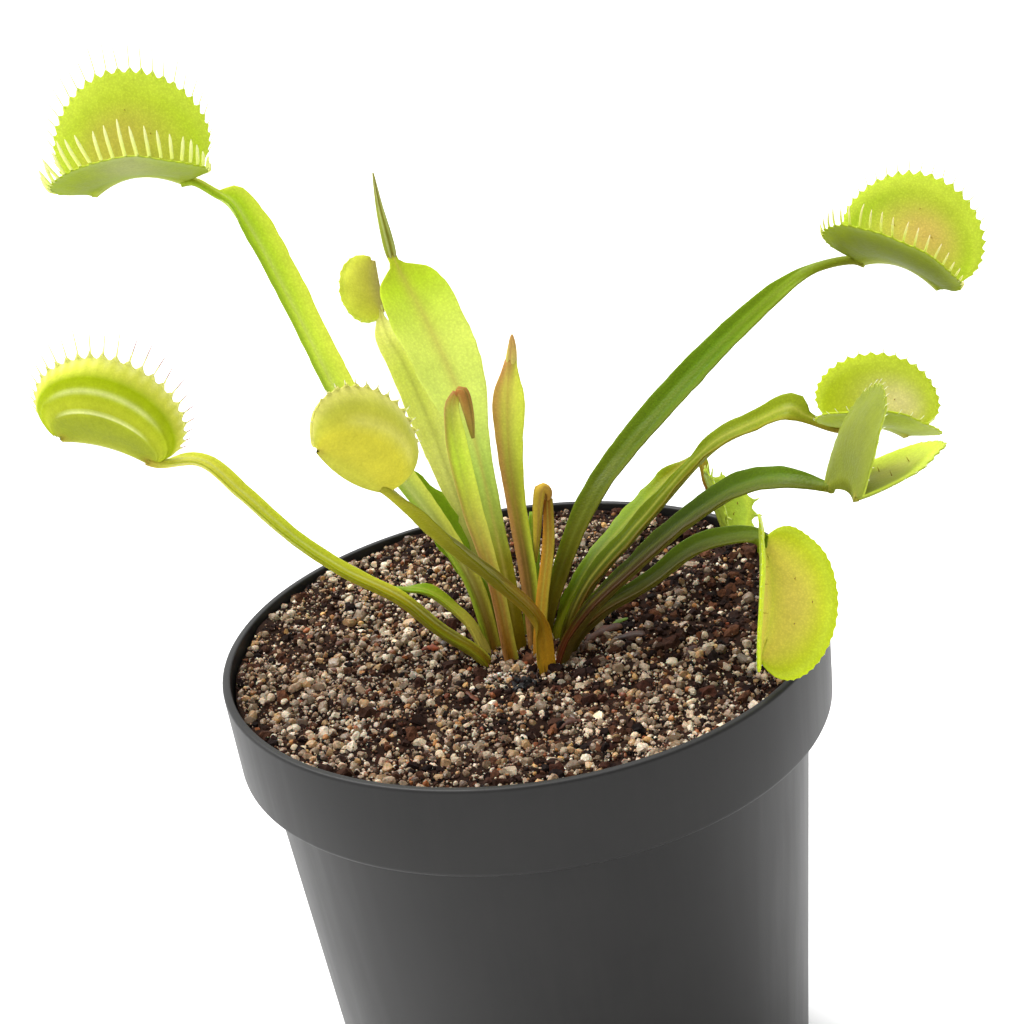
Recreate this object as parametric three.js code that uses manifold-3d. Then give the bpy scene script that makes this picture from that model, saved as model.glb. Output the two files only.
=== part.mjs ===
// A Venus flytrap in a round plastic nursery pot, filled with peat and quartz grit.
// Millimetres, +Z up. The origin is the centre of the pot's flat underside, and -Y is the front.

import * as THREE from 'three';
import { mergeVertices } from 'three/addons/utils/BufferGeometryUtils.js';
import Module from 'manifold-3d';

const wasm = await Module();
wasm.setup();

// Pot
const POT_HEIGHT = 75;
const RIM_RADIUS = 40;
const BAND_HEIGHT = 12.2;
const BAND_DRAFT = 0.4;
const BAND_STEP = 3.1;
const TAPER = 0.075;
const WALL = 1.1;
const FLOOR = 1.4;
const FOOT_CHAMFER = 0.6;
const LIP_ROUND = 0.4;
const STEP_ROUND = 0.3;
const POT_SIDES = 52;
const DRAIN_HOLES = 8;
const DRAIN_RADIUS = 2.7;
const DRAIN_CIRCLE = 22;
const DRAIN_SIDES = 12;

// Growing mix
const CLEARANCE = 0.3;
const CROWN = { x: 0, y: -2.5, z: 72.6 };
const MIX_TILT = 0.015;
const MIX_RISE = 0.8;
const MIX_SINK = 0.48;
const MIX_ROUGH = 0.2;
const LUMP_HEIGHT = 1.1;
const LUMP_PITCH = 17;
const LUMP_DRIFT = 2.2;
const LUMP_BEND = 8;
const MIX_SECTORS = 44;
const MIX_RINGS = 10;
const CROWN_RINGS = 3;
const SOCKET_CLEARANCE = 0.35;
const SOCKET_SIDES = 8;
const SOCKET_ABOVE = 3;
const SOCKET_BELOW = 1.2;

// Rhizome and roots, as heights under the crown
const RHIZOME_TOP = 6.4;
const RHIZOME_DEPTH = 7;
const RHIZOME_RADIUS = 5.6;
const RHIZOME_SIDES = 14;
const ROOT_COUNT = 4;
const ROOT_RADIUS = 0.8;
const ROOT_TAPER = 0.55;
const ROOT_LENGTH = 34;
const ROOT_START = 2.2;
const ROOT_SPREAD = 12;
const ROOT_STEPS = 8;
const ROOT_SIDES = 5;
const ROOT_HOLE = 1.7;

// Leaves
const LEAF_BOTTOM = 6;
const LEAF_FOOT = 1;
const ROOTED_INWARD = 0.9;
const BLADE_EDGE = 0.66;
const BLADE_TILT = 0.55;
const BLADE_FOLD = 22;
const BLADE_STEPS = 16;
const GROOVE = 0.35;
const KEEL = 0.65;
const FRILL_PITCH = 2.4;
const NOTCH_PITCH = 3.7;
const TRAP_SKIN = 0.7;
const TOOTH_ROOT = 0.33;
const TOOTH_SINK = 0.7;
const TOOTH_DRAW = 0.3;
const NECK_SINK = 1.6;
const HINGE_RIB = 1.5;
const HINGE_END = 0.86;
const EDGE_ARCH = 0.7;
const LOBE_CROWN = 0.94;
const LOBE_STEPS = 12;
const SMALL_LOBE_STEPS = 9;
const LOBE_RINGS = 3;
const BUD_STEPS = 8;
const BUD_END = 0.22;
const BUD_SEAM = 0.6;

const COLOURS = {
  pot: [0x3b3d3f, 0.55],
  mix: [0x4a3a33, 0.95],
  rhizome: [0xb9a98a, 0.8],
  green: [0xa9c93a, 0.45],
  dark: [0x6f9230, 0.45],
  young: [0xb5953c, 0.5],
};

const radians = (degrees) => (degrees * Math.PI) / 180;

// A draw between 0 and 1 that depends only on two whole numbers.
function draw(i, j) {
  const wave = Math.sin(i * 127.1 + j * 311.7) * 43758.5453;
  return wave - Math.floor(wave);
}

// A point by its bearing round the crown, reach from the crown and height above the mix there.
function atCrown([bearing, reach, height]) {
  const angle = radians(bearing);
  return new THREE.Vector3(
    CROWN.x + reach * Math.cos(angle),
    CROWN.y + reach * Math.sin(angle),
    CROWN.z + height,
  );
}

function solidOf(geometry) {
  const bare = geometry.clone();
  bare.deleteAttribute('normal');
  bare.deleteAttribute('uv');
  const merged = mergeVertices(bare, 1e-4);
  return new wasm.Manifold(new wasm.Mesh({
    numProp: 3,
    vertProperties: merged.attributes.position.array,
    triVerts: new Uint32Array(merged.index.array),
  }));
}

function geometryOf(solid) {
  const mesh = solid.getMesh();
  const geometry = new THREE.BufferGeometry();
  geometry.setAttribute('position', new THREE.BufferAttribute(mesh.vertProperties, 3));
  geometry.setIndex(new THREE.BufferAttribute(mesh.triVerts, 1));
  geometry.computeVertexNormals();
  return geometry;
}

// The solid on a list of points and triangles, turned so that its faces point outwards.
function closed(points, triangles) {
  const geometry = new THREE.BufferGeometry().setFromPoints(points);
  geometry.setIndex(triangles);
  const solid = solidOf(geometry);
  if (solid.volume() > 0) {
    return solid;
  }
  const turned = [];
  for (let i = 0; i < triangles.length; i += 3) {
    turned.push(triangles[i], triangles[i + 2], triangles[i + 1]);
  }
  geometry.setIndex(turned);
  return solidOf(geometry);
}

// The main body of a solid, without the loose scraps that a cut or a join leaves.
function largest(solid) {
  return solid.decompose().sort((a, b) => b.volume() - a.volume())[0];
}

// A body lofted through rings of equal point counts. The two halves of each ring are split alike,
// so that the faces of a waved blade stay apart.
function loft(rings) {
  const count = rings[0].length;
  const points = rings.flat();
  const triangles = [];
  for (let i = 0; i + 1 < rings.length; i += 1) {
    for (let j = 0; j < count; j += 1) {
      const near = i * count + j;
      const next = i * count + ((j + 1) % count);
      if (j < count / 2) {
        triangles.push(near, next, next + count, near, next + count, near + count);
      } else {
        triangles.push(near, next, near + count, next, next + count, near + count);
      }
    }
  }
  for (const [start, turn] of [[0, 1], [(rings.length - 1) * count, -1]]) {
    for (let j = 1; j + 1 < count; j += 1) {
      triangles.push(start, start + (turn > 0 ? j + 1 : j), start + (turn > 0 ? j : j + 1));
    }
  }
  return closed(points, triangles);
}

// A value that runs evenly through a list of values, for a place between 0 and 1.
function along(values, place) {
  const slot = Math.min(place * (values.length - 1), values.length - 1 - 1e-9);
  const index = Math.floor(slot);
  return THREE.MathUtils.lerp(values[index], values[index + 1], slot - index);
}

// A spike with three sides, for a tooth on the edge of a trap.
function spike(root, tip, radius) {
  const axis = new THREE.Vector3().subVectors(tip, root).normalize();
  const helper = Math.abs(axis.z) < 0.9 ? new THREE.Vector3(0, 0, 1) : new THREE.Vector3(1, 0, 0);
  const side = new THREE.Vector3().crossVectors(axis, helper).normalize();
  const up = new THREE.Vector3().crossVectors(side, axis);
  const points = [tip];
  for (let i = 0; i < 3; i += 1) {
    const angle = radians(120 * i + 90);
    points.push(root.clone()
      .addScaledVector(side, radius * Math.cos(angle))
      .addScaledVector(up, radius * Math.sin(angle)));
  }
  return closed(points, [0, 1, 2, 0, 2, 3, 0, 3, 1, 1, 3, 2]);
}

// A stalk with wings. At each place it has a keel below, a shallow groove above and two wings
// that rise to the sides. The face that was the upper one in the bud looks along facing.
function stalk({ path, width, rib, facing, fold = BLADE_FOLD, frill = 0, steps = BLADE_STEPS }) {
  const curve = new THREE.CatmullRomCurve3(path, false, 'centripetal');
  const rings = [];
  for (let i = 0; i <= steps; i += 1) {
    const place = i / steps;
    const centre = curve.getPoint(place);
    const tangent = curve.getTangent(place);
    const side = new THREE.Vector3().crossVectors(tangent, facing).normalize();
    const up = new THREE.Vector3().crossVectors(side, tangent);
    const half = along(width, place) / 2;
    const deep = along(rib, place);
    const lift = radians(fold);
    const at = (a, n) => centre.clone().addScaledVector(side, a).addScaledVector(up, n);
    const wave = (hand) => frill * Math.sin(FRILL_PITCH * i + hand) * Math.min(1, half / 2);
    const notch = (hand) => 1 + (frill / 2) * Math.sin(NOTCH_PITCH * i + 2 * hand);
    const out = (hand) => hand * half * notch(hand) * Math.cos(lift);
    const rise = (hand) => half * Math.sin(lift) + wave(hand);
    const [leftOut, leftUp] = [out(-1), rise(-1)];
    const [rightOut, rightUp] = [out(1), rise(1)];
    rings.push([
      at(leftOut, leftUp + BLADE_EDGE / 2),
      at(0, deep * GROOVE),
      at(rightOut, rightUp + BLADE_EDGE / 2),
      at(rightOut, rightUp - BLADE_EDGE / 2),
      at(0, -deep * KEEL),
      at(leftOut, leftUp - BLADE_EDGE / 2),
    ]);
  }
  return loft(rings);
}

// A thin body between two like grids of points, with rows + 1 lines of columns + 1 points each.
function sheet([upper, lower], rows, columns) {
  const back = upper.length;
  const wide = columns + 1;
  const triangles = [];
  for (let i = 0; i < rows; i += 1) {
    for (let j = 0; j < columns; j += 1) {
      const a = i * wide + j;
      const [b, c, d] = [a + 1, a + wide + 1, a + wide];
      triangles.push(a, b, c, a, c, d);
      triangles.push(a + back, c + back, b + back, a + back, d + back, c + back);
    }
  }
  const numbers = (count, value) => Array.from({ length: count }, (_, i) => value(i));
  const border = [
    ...numbers(columns, (j) => j),
    ...numbers(rows, (i) => i * wide + columns),
    ...numbers(columns, (j) => rows * wide + columns - j),
    ...numbers(rows, (i) => (rows - i) * wide),
  ];
  border.forEach((a, k) => {
    const b = border[(k + 1) % border.length];
    triangles.push(a, a + back, b + back, a, b + back, b);
  });
  return closed([...upper, ...lower], triangles);
}

// A trap: two domed lobes that meet at a thick arched midrib, and teeth along each lobe's edge.
// The midrib runs from start to tip and arches up by arch in its middle. The open side looks along
// opening, and gape is the angle between the lobes. Each lobe reaches out by depth, bulges by dome,
// and its outline closes in by the angle waist before it meets the midrib.
function trap({
  start, tip, opening, depth, gape, dome, arch = 0, waist, teeth, tooth, inward = 25, coarse = 1,
  steps = LOBE_STEPS,
}) {
  const hinge = tip.clone().sub(start);
  const ahead = hinge.clone().normalize();
  const open = opening.clone().addScaledVector(ahead, -opening.dot(ahead)).normalize();
  const left = new THREE.Vector3().crossVectors(open, ahead);
  const centre = start.clone().lerp(tip, 0.5);
  const notch = radians(waist);
  const halfLength = hinge.length() / 2 / Math.cos(notch);
  const lean = radians(gape / 2);
  const lobe = [-1, 1].map((hand) => ({
    out: open.clone().multiplyScalar(Math.cos(lean)).addScaledVector(left, hand * Math.sin(lean)),
    skin: left.clone().multiplyScalar(hand * Math.cos(lean)).addScaledVector(open, -Math.sin(lean)),
  }));
  // A place on the two lobes: turn runs round the edge, side from -1 over the midrib at 0 to 1.
  const place = (turn, side) => {
    const { out, skin } = lobe[side < 0 ? 0 : 1];
    const t = Math.abs(side);
    const span = (2 * turn - Math.PI) / (Math.PI + 2 * notch);
    const across = -Math.cos(turn);
    const rise = (Math.sin(turn) + Math.sin(notch)) / (1 + Math.sin(notch));
    const inner = centre.clone()
      .addScaledVector(ahead, (HINGE_END * hinge.length() * span) / 2)
      .addScaledVector(open, arch * (1 - span * span));
    const outer = centre.clone()
      .addScaledVector(ahead, halfLength * across)
      .addScaledVector(open, EDGE_ARCH * arch * (1 - across * across))
      .addScaledVector(out, depth * rise);
    const bulge = dome * Math.sin(Math.PI * t * LOBE_CROWN) * rise;
    return inner.lerp(outer, t).addScaledVector(skin, bulge);
  };
  const turnAt = (i) => -notch + ((Math.PI + 2 * notch) * (i + 0.25)) / (steps + 0.5);
  const [turnNudge, sideNudge] = [0.02, 0.05];
  const points = [[], []];
  for (let i = 0; i <= steps; i += 1) {
    for (let j = -LOBE_RINGS; j <= LOBE_RINGS; j += 1) {
      const [turn, side] = [turnAt(i), j / LOBE_RINGS];
      const middle = place(turn, side);
      const lengthwise = place(turn + turnNudge, side).sub(place(turn - turnNudge, side));
      const crosswise = place(turn, Math.min(1, side + sideNudge))
        .sub(place(turn, Math.max(-1, side - sideNudge)));
      const normal = crosswise.cross(lengthwise).normalize();
      const half = (j === 0 ? HINGE_RIB : TRAP_SKIN) / 2;
      points[0].push(middle.clone().addScaledVector(normal, half));
      points[1].push(middle.clone().addScaledVector(normal, -half));
    }
  }
  const parts = [sheet(points, steps, 2 * LOBE_RINGS)];
  const [bare, fan, shortest] = [0.4, 0.4, 0.6];
  const bend = radians(inward);
  for (const hand of [0, 1]) {
    const { out, skin } = lobe[hand];
    const middle = centre.clone().addScaledVector(out, depth * fan);
    for (let k = 0; k < teeth; k += 1) {
      const turn = -notch * bare + ((Math.PI + 2 * notch * bare) * k) / (teeth - 1);
      const edge = place(turn, hand === 0 ? -1 : 1);
      const outward = edge.clone().sub(middle).normalize();
      const away = outward.clone().multiplyScalar(Math.cos(bend)).addScaledVector(skin, -Math.sin(bend));
      const long = tooth * (shortest + (1 - shortest) * Math.sin(Math.max(0, turn)))
        * (1 + TOOTH_DRAW * (draw(k, hand) - 0.5));
      parts.push(spike(
        edge.clone().addScaledVector(outward, -TOOTH_SINK * coarse),
        edge.clone().addScaledVector(away, long),
        TOOTH_ROOT * coarse,
      ));
    }
  }
  return parts;
}

// A closed young trap: a slim body with pointed ends and a seam down each face.
function bud({ path, width, thick, facing }) {
  const curve = new THREE.CatmullRomCurve3(path, false, 'centripetal');
  const side = new THREE.Vector3().crossVectors(curve.getTangent(0), facing);
  const rings = [];
  for (let i = 0; i <= BUD_STEPS; i += 1) {
    const place = i / BUD_STEPS;
    const tangent = curve.getTangent(place);
    side.addScaledVector(tangent, -side.dot(tangent)).normalize();
    const up = new THREE.Vector3().crossVectors(side, tangent);
    const belly = Math.sin(Math.PI * (0.1 + 0.88 * place)) ** 0.8;
    const swell = BUD_END + (1 - BUD_END) * belly;
    const [a, b] = [(width / 2) * swell, (thick / 2) * swell];
    const centre = curve.getPoint(place);
    const at = (x, y) => centre.clone().addScaledVector(side, x).addScaledVector(up, y);
    rings.push([
      at(-a, 0), at(-a * BUD_SEAM, b), at(0, b * BUD_SEAM), at(a * BUD_SEAM, b),
      at(a, 0), at(a * BUD_SEAM, -b), at(0, -b * BUD_SEAM), at(-a * BUD_SEAM, -b),
    ]);
  }
  return loft(rings);
}

// The buried end of a leaf and the place where it leaves the mix, for its base on the crown.
function rooted([bearing, radius]) {
  return [
    atCrown([bearing, radius * ROOTED_INWARD, -LEAF_BOTTOM]),
    atCrown([bearing, radius, -CLEARANCE]),
  ];
}

// One row a leaf. base is [bearing, radius] on the crown; path is [bearing, reach, height] from the
// mix up to the end of the neck; width and rib run evenly along both; tip is the far end of a trap.
const LEAVES = {
  leaf_back_left_open_trap: {
    colour: 'green', base: [146, 5.6],
    path: [[140.7, 7.8, 8.4], [137.2, 13.4, 16.2], [137.7, 19.5, 23.2], [138.7, 25.8, 31.5],
      [136.5, 31.9, 41.2], [136, 36.1, 48.9], [136.8, 39.2, 55.4], [138.4, 39.9, 58.4],
      [140, 40.8, 59.8], [141.7, 43.5, 61.8]],
    width: [1.5, 1.7, 2.4, 3.2, 4.2, 4.8, 4.8, 5.2, 5.2, 4.6, 1.5, 1.2, 1],
    rib: [1.3, 1.4, 1.4, 1.3, 1.2, 1.2, 1.1, 1.1],
    steps: 24,
    front: 0.25,
    trap: { tip: [150.7, 55.5, 61.8], opening: [0.07, -0.42, 0.9], depth: 13.6, gape: 77, dome: 0.9,
      arch: 2.4, waist: 45, teeth: 15, tooth: 4.2, inward: 20 },
  },
  leaf_left_closed_trap: {
    colour: 'green', base: [187, 5.6],
    path: [[169, 11.1, 3.9], [167, 15.8, 8.4], [166, 23.3, 13], [165, 29.5, 18], [163, 35.6, 23.8],
      [162.5, 40.5, 28.3], [164.2, 45.8, 28.9]],
    width: [1.5, 1.7, 2.4, 2.8, 3, 3.2, 3.4, 3.2, 1.2, 1],
    rib: [1.3, 1.4, 1.4, 1.3, 1.2, 1.2, 1.1, 1.1, 1.1],
    trap: { tip: [164.2, 59.6, 33.5], opening: [-0.25, 0.1, 1], depth: 11.8, gape: 7, dome: 3, arch: 0.9,
      waist: 44, teeth: 15, tooth: 3.2, inward: 4 },
  },
  leaf_front_left_trap: {
    colour: 'green', base: [-66, 5.2],
    path: [[-64, 4.6, 6], [-106.5, 7.9, 14.1], [-117, 15.9, 23.1], [-116.1, 22.4, 29.5],
      [-113.4, 31.4, 37.4]],
    width: [1.5, 1.7, 2, 3, 3.6, 3.4, 1.3, 1], rib: [1.3, 1.4, 1.4, 1.3, 1.2, 1.1, 1.1],
    front: 0.9,
    trap: { tip: [-118.2, 40.1, 46.5], opening: [0.3, 0.2, 0.85], depth: 9, gape: 9, dome: 2.4, arch: -0.8,
      waist: 38, teeth: 13, tooth: 2.4, inward: 6 },
  },
  leaf_broad_upright: {
    colour: 'green', base: [120, 2.2],
    path: [[107, 4.2, 6.1], [101, 10.9, 17.5], [101, 15.8, 25.9], [103, 19.6, 31.9], [106.5, 24.3, 39.3],
      [109.5, 27.5, 45.2], [110.4, 28.8, 47.8]],
    width: [1.4, 1.7, 2.4, 2.6, 4.2, 8.4, 10.4, 9.8, 1.4],
    rib: [1.3, 1.4, 1.3, 1.2, 1.2, 1.1, 1, 1, 1.1],
    fold: 12,
    steps: 20,
    bud: { path: [[110.4, 28.7, 47.3], [110.3, 29.8, 50.6], [109.8, 31.6, 54], [108.9, 33.6, 58.2]],
      width: 1.7, thick: 1.5 },
  },
  leaf_back_small_trap: {
    colour: 'green', base: [103, 5.6],
    path: [[108.9, 10, 5.3], [110.2, 17.9, 15.6], [110.9, 23.8, 24.9], [113.5, 27.4, 33.5],
      [114.6, 29.7, 36.5], [113.5, 32.5, 38.7]],
    width: [1.4, 1.5, 2, 3.6, 5.4, 4.6, 2.8, 1.2, 1], rib: [1.3, 1.4, 1.3, 1.2, 1.1, 1, 1],
    trap: { tip: [111.4, 36.3, 46.2], opening: [-0.99, 0.06, 0.13], depth: 5, gape: 22, dome: 1,
      waist: 24, teeth: 7, tooth: 1.0, steps: SMALL_LOBE_STEPS },
  },
  leaf_young_hooked: {
    colour: 'young', base: [190, 2.3],
    path: [[150, 3.2, 8.7], [133, 6.6, 19.1], [125, 9, 27.5], [117, 10.6, 32], [111, 10.7, 33.4]],
    width: [1.3, 1.5, 2.2, 3.4, 3.4, 2, 1.3], rib: [1.2, 1.3, 1.2, 1.1, 1.1, 1.1, 1.1], fold: 34,
    bud: { path: [[111.7, 10.8, 33.1], [109.2, 10, 33.7], [107.7, 9.4, 31.2], [107.7, 9.1, 27.4]],
      width: 1.5, thick: 1.4 },
  },
  leaf_young_spear: {
    colour: 'young', base: [52, 2.2],
    path: [[74.5, 6.3, 7], [83.6, 13.3, 15.9], [83.9, 16.6, 22.6], [82.3, 19.3, 28.3], [80, 21.3, 32.9]],
    width: [1.3, 1.5, 2.2, 2.6, 3.8, 4.7, 1.7], rib: [1.2, 1.3, 1.2, 1.1, 1.1, 1, 1], fold: 16,
    bud: { path: [[80.2, 21.3, 32.3], [79.1, 21.5, 34.4], [78.4, 21.6, 36.4]], width: 1.2, thick: 1.2 },
  },
  leaf_hooked_bud: {
    colour: 'young', base: [-20, 1.9],
    path: [[37.7, 3.9, 5.5], [54.2, 8.6, 11.5], [60.7, 11.9, 16.6]],
    width: [1.2, 1.4, 1.6, 1.7, 1.3], rib: [1.2, 1.3, 1.2, 1.1, 1], fold: 40,
    bud: { path: [[60.8, 11.8, 16.3], [60.4, 11.8, 17.8], [63.1, 11.2, 18.4], [65.3, 10.8, 16.9],
      [68.2, 10.2, 12.8], [72.1, 9.6, 8.3]], width: 1.1, thick: 1 },
  },
  leaf_right_tall_open_trap: {
    colour: 'green', base: [58, 5.6],
    path: [[49.5, 10.2, 7.6], [47.7, 16.3, 13.7], [44.6, 23.3, 18.5], [39.7, 31.7, 24.1],
      [34.9, 40, 30.1], [28.6, 46.6, 36.4], [25.5, 50.5, 39.1], [22.5, 54.8, 39.7]],
    width: [1.5, 1.7, 2.8, 3.8, 4.4, 5, 4.6, 3.4, 1.6, 1.2, 1],
    rib: [1.3, 1.4, 1.4, 1.3, 1.2, 1.2, 1.1, 1.1, 1.1],
    steps: 20,
    front: 0.5,
    trap: { tip: [12.1, 62.2, 36.2], opening: [-0.05, -0.26, 0.965], depth: 12, gape: 65, dome: 1,
      arch: 2, waist: 46, teeth: 15, tooth: 2.6, inward: 20 },
  },
  leaf_right_upper_trap: {
    colour: 'dark', base: [13, 5.6],
    path: [[1, 9.4, 8.1], [-4.1, 15.1, 14.4], [-5.2, 20.1, 19.6], [-5.9, 24.5, 24.1],
      [-6.6, 28.1, 26.9], [-8.5, 32.6, 29], [-10.6, 37, 30.9], [-11.6, 38.8, 30], [-12.7, 42, 28.8]],
    width: [1.5, 1.7, 2.8, 3.4, 3, 2.2, 3.8, 3.6, 4.6, 1.6, 1.2, 1],
    rib: [1.3, 1.4, 1.4, 1.3, 1.2, 1.2, 1.1, 1.1],
    steps: 22,
    front: 0.5,
    trap: { tip: [-12, 51.2, 26.8], opening: [0.1, -0.3, 0.95], depth: 8.6, gape: 75, dome: 0.8,
      arch: 1.2, waist: 50, teeth: 13, tooth: 1.8 },
  },
  leaf_right_front_trap: {
    colour: 'dark', base: [-38, 5.6],
    path: [[-33, 9.4, 6.2], [-27.9, 17.1, 13.8], [-26.1, 24.6, 20.1], [-26.7, 31.2, 24.5],
      [-29.6, 37.2, 26.9], [-30.5, 43.1, 26.9]],
    width: [1.5, 1.7, 2.8, 3.8, 4.6, 5, 3.8, 1.3, 1], rib: [1.3, 1.4, 1.4, 1.3, 1.2, 1.1, 1.1],
    steps: 20,
    front: 0.5,
    trap: { tip: [-41.4, 51.4, 30.2], opening: [0.78, 0.05, 0.68], depth: 12, gape: 42, dome: 1.2,
      arch: 1, waist: 30, teeth: 13, tooth: 1.6 },
  },
  leaf_right_drooping_trap: {
    colour: 'dark', base: [-11, 5.6],
    path: [[-14, 10.6, 5.2], [-14, 17.5, 9.3], [-12.4, 24.4, 13.7], [-18.7, 32.4, 15.9]],
    width: [1.5, 1.7, 2.8, 3.8, 4.4, 2.2, 1], rib: [1.3, 1.4, 1.3, 1.2, 1.1, 1.1],
    front: 0.3,
    trap: { tip: [-37.8, 34.8, 4.9], opening: [0.62, -0.7, 0.3], depth: 8.6, gape: 95, dome: 0.7,
      arch: 1.4, waist: 36, teeth: 15, tooth: 0.9 },
  },
  leaf_back_right_toothed_trap: {
    colour: 'dark', base: [36, 5.6],
    path: [[38.7, 12.8, 6.5], [39.5, 21.3, 10.1], [37.2, 28.2, 13.6], [32.4, 32.2, 16],
      [26.8, 30.7, 14.1]],
    width: [1.5, 1.6, 3.4, 4.6, 4.2, 1.8, 1.2, 1], rib: [1.3, 1.4, 1.2, 1.1, 1, 1, 1], frill: 0.25,
    trap: { tip: [13.5, 29.5, 9.3], opening: [0.5, -0.5, 0.1], depth: 4.6, gape: 90, dome: 0.5,
      waist: 25, teeth: 7, tooth: 1.6, coarse: 1.6, steps: SMALL_LOBE_STEPS },
  },
  leaf_small_low: {
    colour: 'green', base: [166, 5.6],
    path: [[158.6, 7.1, 3.3], [157.1, 9.6, 6], [157.8, 12.9, 8.4], [159.8, 17, 9]],
    width: [1.4, 1.6, 1.7, 2, 2.2, 1], rib: [1.2, 1.3, 1.1, 1, 0.9, 0.8], frill: 0.25, fold: 30,
  },
  leaf_short_toothed: {
    colour: 'dark', base: [125, 5.6],
    path: [[125.1, 9.1, 6.7], [125.4, 13.9, 12.4], [127, 17.1, 17.7], [129.8, 19.5, 22]],
    width: [1.4, 1.5, 2.4, 4.8, 5, 1.6], rib: [1.2, 1.3, 1.1, 1, 0.9, 0.8], frill: 0.3, fold: 10,
  },
  leaf_small_back: {
    colour: 'green', base: [80, 5.6],
    path: [[77, 8, 4.6], [76, 11.4, 9], [76, 14.6, 13.4]],
    width: [1.3, 1.5, 2, 2.4, 1], rib: [1.2, 1.2, 1, 0.9, 0.8], fold: 26,
  },
};

function leaf(row) {
  const bearing = radians(row.path[row.path.length - 1][0]);
  const facing = new THREE.Vector3(
    -BLADE_TILT * Math.cos(bearing),
    -BLADE_TILT * Math.sin(bearing) - (row.front ?? 0),
    1,
  ).normalize();
  const path = [...rooted(row.base), ...row.path.map(atCrown)];
  const parts = [];
  if (row.trap) {
    const start = path[path.length - 1];
    const tip = atCrown(row.trap.tip);
    const opening = new THREE.Vector3(...row.trap.opening);
    parts.push(...trap({ ...row.trap, start, tip, opening }));
    path.push(start.clone().lerp(tip, NECK_SINK / start.distanceTo(tip)));
  }
  parts.push(stalk({ ...row, path, facing }));
  if (row.bud) {
    parts.push(bud({ ...row.bud, path: row.bud.path.map(atCrown), facing }));
  }
  return largest(wasm.Manifold.union(parts));
}

// The corners of a level ring round a centre.
function levelRing(centre, radius, sides, first) {
  return Array.from({ length: sides }, (_, i) => {
    const angle = radians(first + (360 * i) / sides);
    return centre.clone().add(new THREE.Vector3(radius * Math.cos(angle), radius * Math.sin(angle), 0));
  });
}

// The plain hole that a leaf's base stands in.
function socket([bearing, radius]) {
  const path = [
    atCrown([bearing, radius * ROOTED_INWARD, -LEAF_BOTTOM - SOCKET_BELOW]),
    atCrown([bearing, radius, -CLEARANCE]),
    atCrown([bearing, radius * 1.12, SOCKET_ABOVE]),
  ];
  const wide = LEAF_FOOT + SOCKET_CLEARANCE;
  return loft(path.map((centre) => levelRing(centre, wide, SOCKET_SIDES, bearing + 22.5)));
}

// The short rhizome under the crown, with roots that wander down. The mix around it is cut by the
// same form, grown by a clearance.
function rhizome(clearance) {
  const profile = [
    [0, -RHIZOME_TOP + clearance],
    [RHIZOME_RADIUS * 0.86 + clearance, -RHIZOME_TOP + clearance],
    [RHIZOME_RADIUS + clearance, -RHIZOME_TOP - RHIZOME_DEPTH * 0.2],
    [RHIZOME_RADIUS * 0.8 + clearance, -RHIZOME_TOP - RHIZOME_DEPTH * 0.7],
    [RHIZOME_RADIUS * 0.3 + clearance, -RHIZOME_TOP - RHIZOME_DEPTH - clearance],
    [0, -RHIZOME_TOP - RHIZOME_DEPTH - clearance],
  ].map(([r, z]) => new THREE.Vector2(r, z)).reverse();
  const knob = new THREE.LatheGeometry(profile, RHIZOME_SIDES)
    .rotateX(Math.PI / 2)
    .translate(CROWN.x, CROWN.y, CROWN.z);
  const parts = [solidOf(knob)];
  for (let k = 0; k < ROOT_COUNT; k += 1) {
    const bearing = (360 * k) / ROOT_COUNT + 40 * draw(k, 1);
    const spread = ROOT_SPREAD * (0.7 + 0.3 * draw(k, 2));
    const deep = ROOT_LENGTH * (0.8 + 0.2 * draw(k, 3));
    const bends = 4;
    const path = [];
    for (let i = 0; i <= bends; i += 1) {
      const down = i / bends;
      path.push(atCrown([
        bearing + 30 * Math.sin(2.5 * i + k),
        ROOT_START + spread * down,
        -RHIZOME_TOP - RHIZOME_DEPTH * 0.6 - deep * down,
      ]));
    }
    const curve = new THREE.CatmullRomCurve3(path);
    const rings = [];
    for (let i = 0; i <= ROOT_STEPS; i += 1) {
      const place = i / ROOT_STEPS;
      const radius = ROOT_RADIUS * (1 - ROOT_TAPER * place) + ROOT_HOLE * clearance;
      const centre = curve.getPoint(place);
      if (i === ROOT_STEPS) {
        centre.z -= clearance;
      }
      rings.push(levelRing(centre, radius, ROOT_SIDES, 0));
    }
    parts.push(loft(rings));
  }
  return wasm.Manifold.union(parts);
}

const bodyRadius = (z) => RIM_RADIUS - BAND_DRAFT - BAND_STEP - TAPER * (POT_HEIGHT - BAND_HEIGHT - z);
const bandRadius = (z) => RIM_RADIUS - (BAND_DRAFT * (POT_HEIGHT - z)) / BAND_HEIGHT;

// A body turned round the pot's axis from a profile of [radius, height].
function turned(profile, sides) {
  const points = profile.map(([r, z]) => new THREE.Vector2(r, z));
  return solidOf(new THREE.LatheGeometry(points, sides).rotateX(Math.PI / 2));
}

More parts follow.
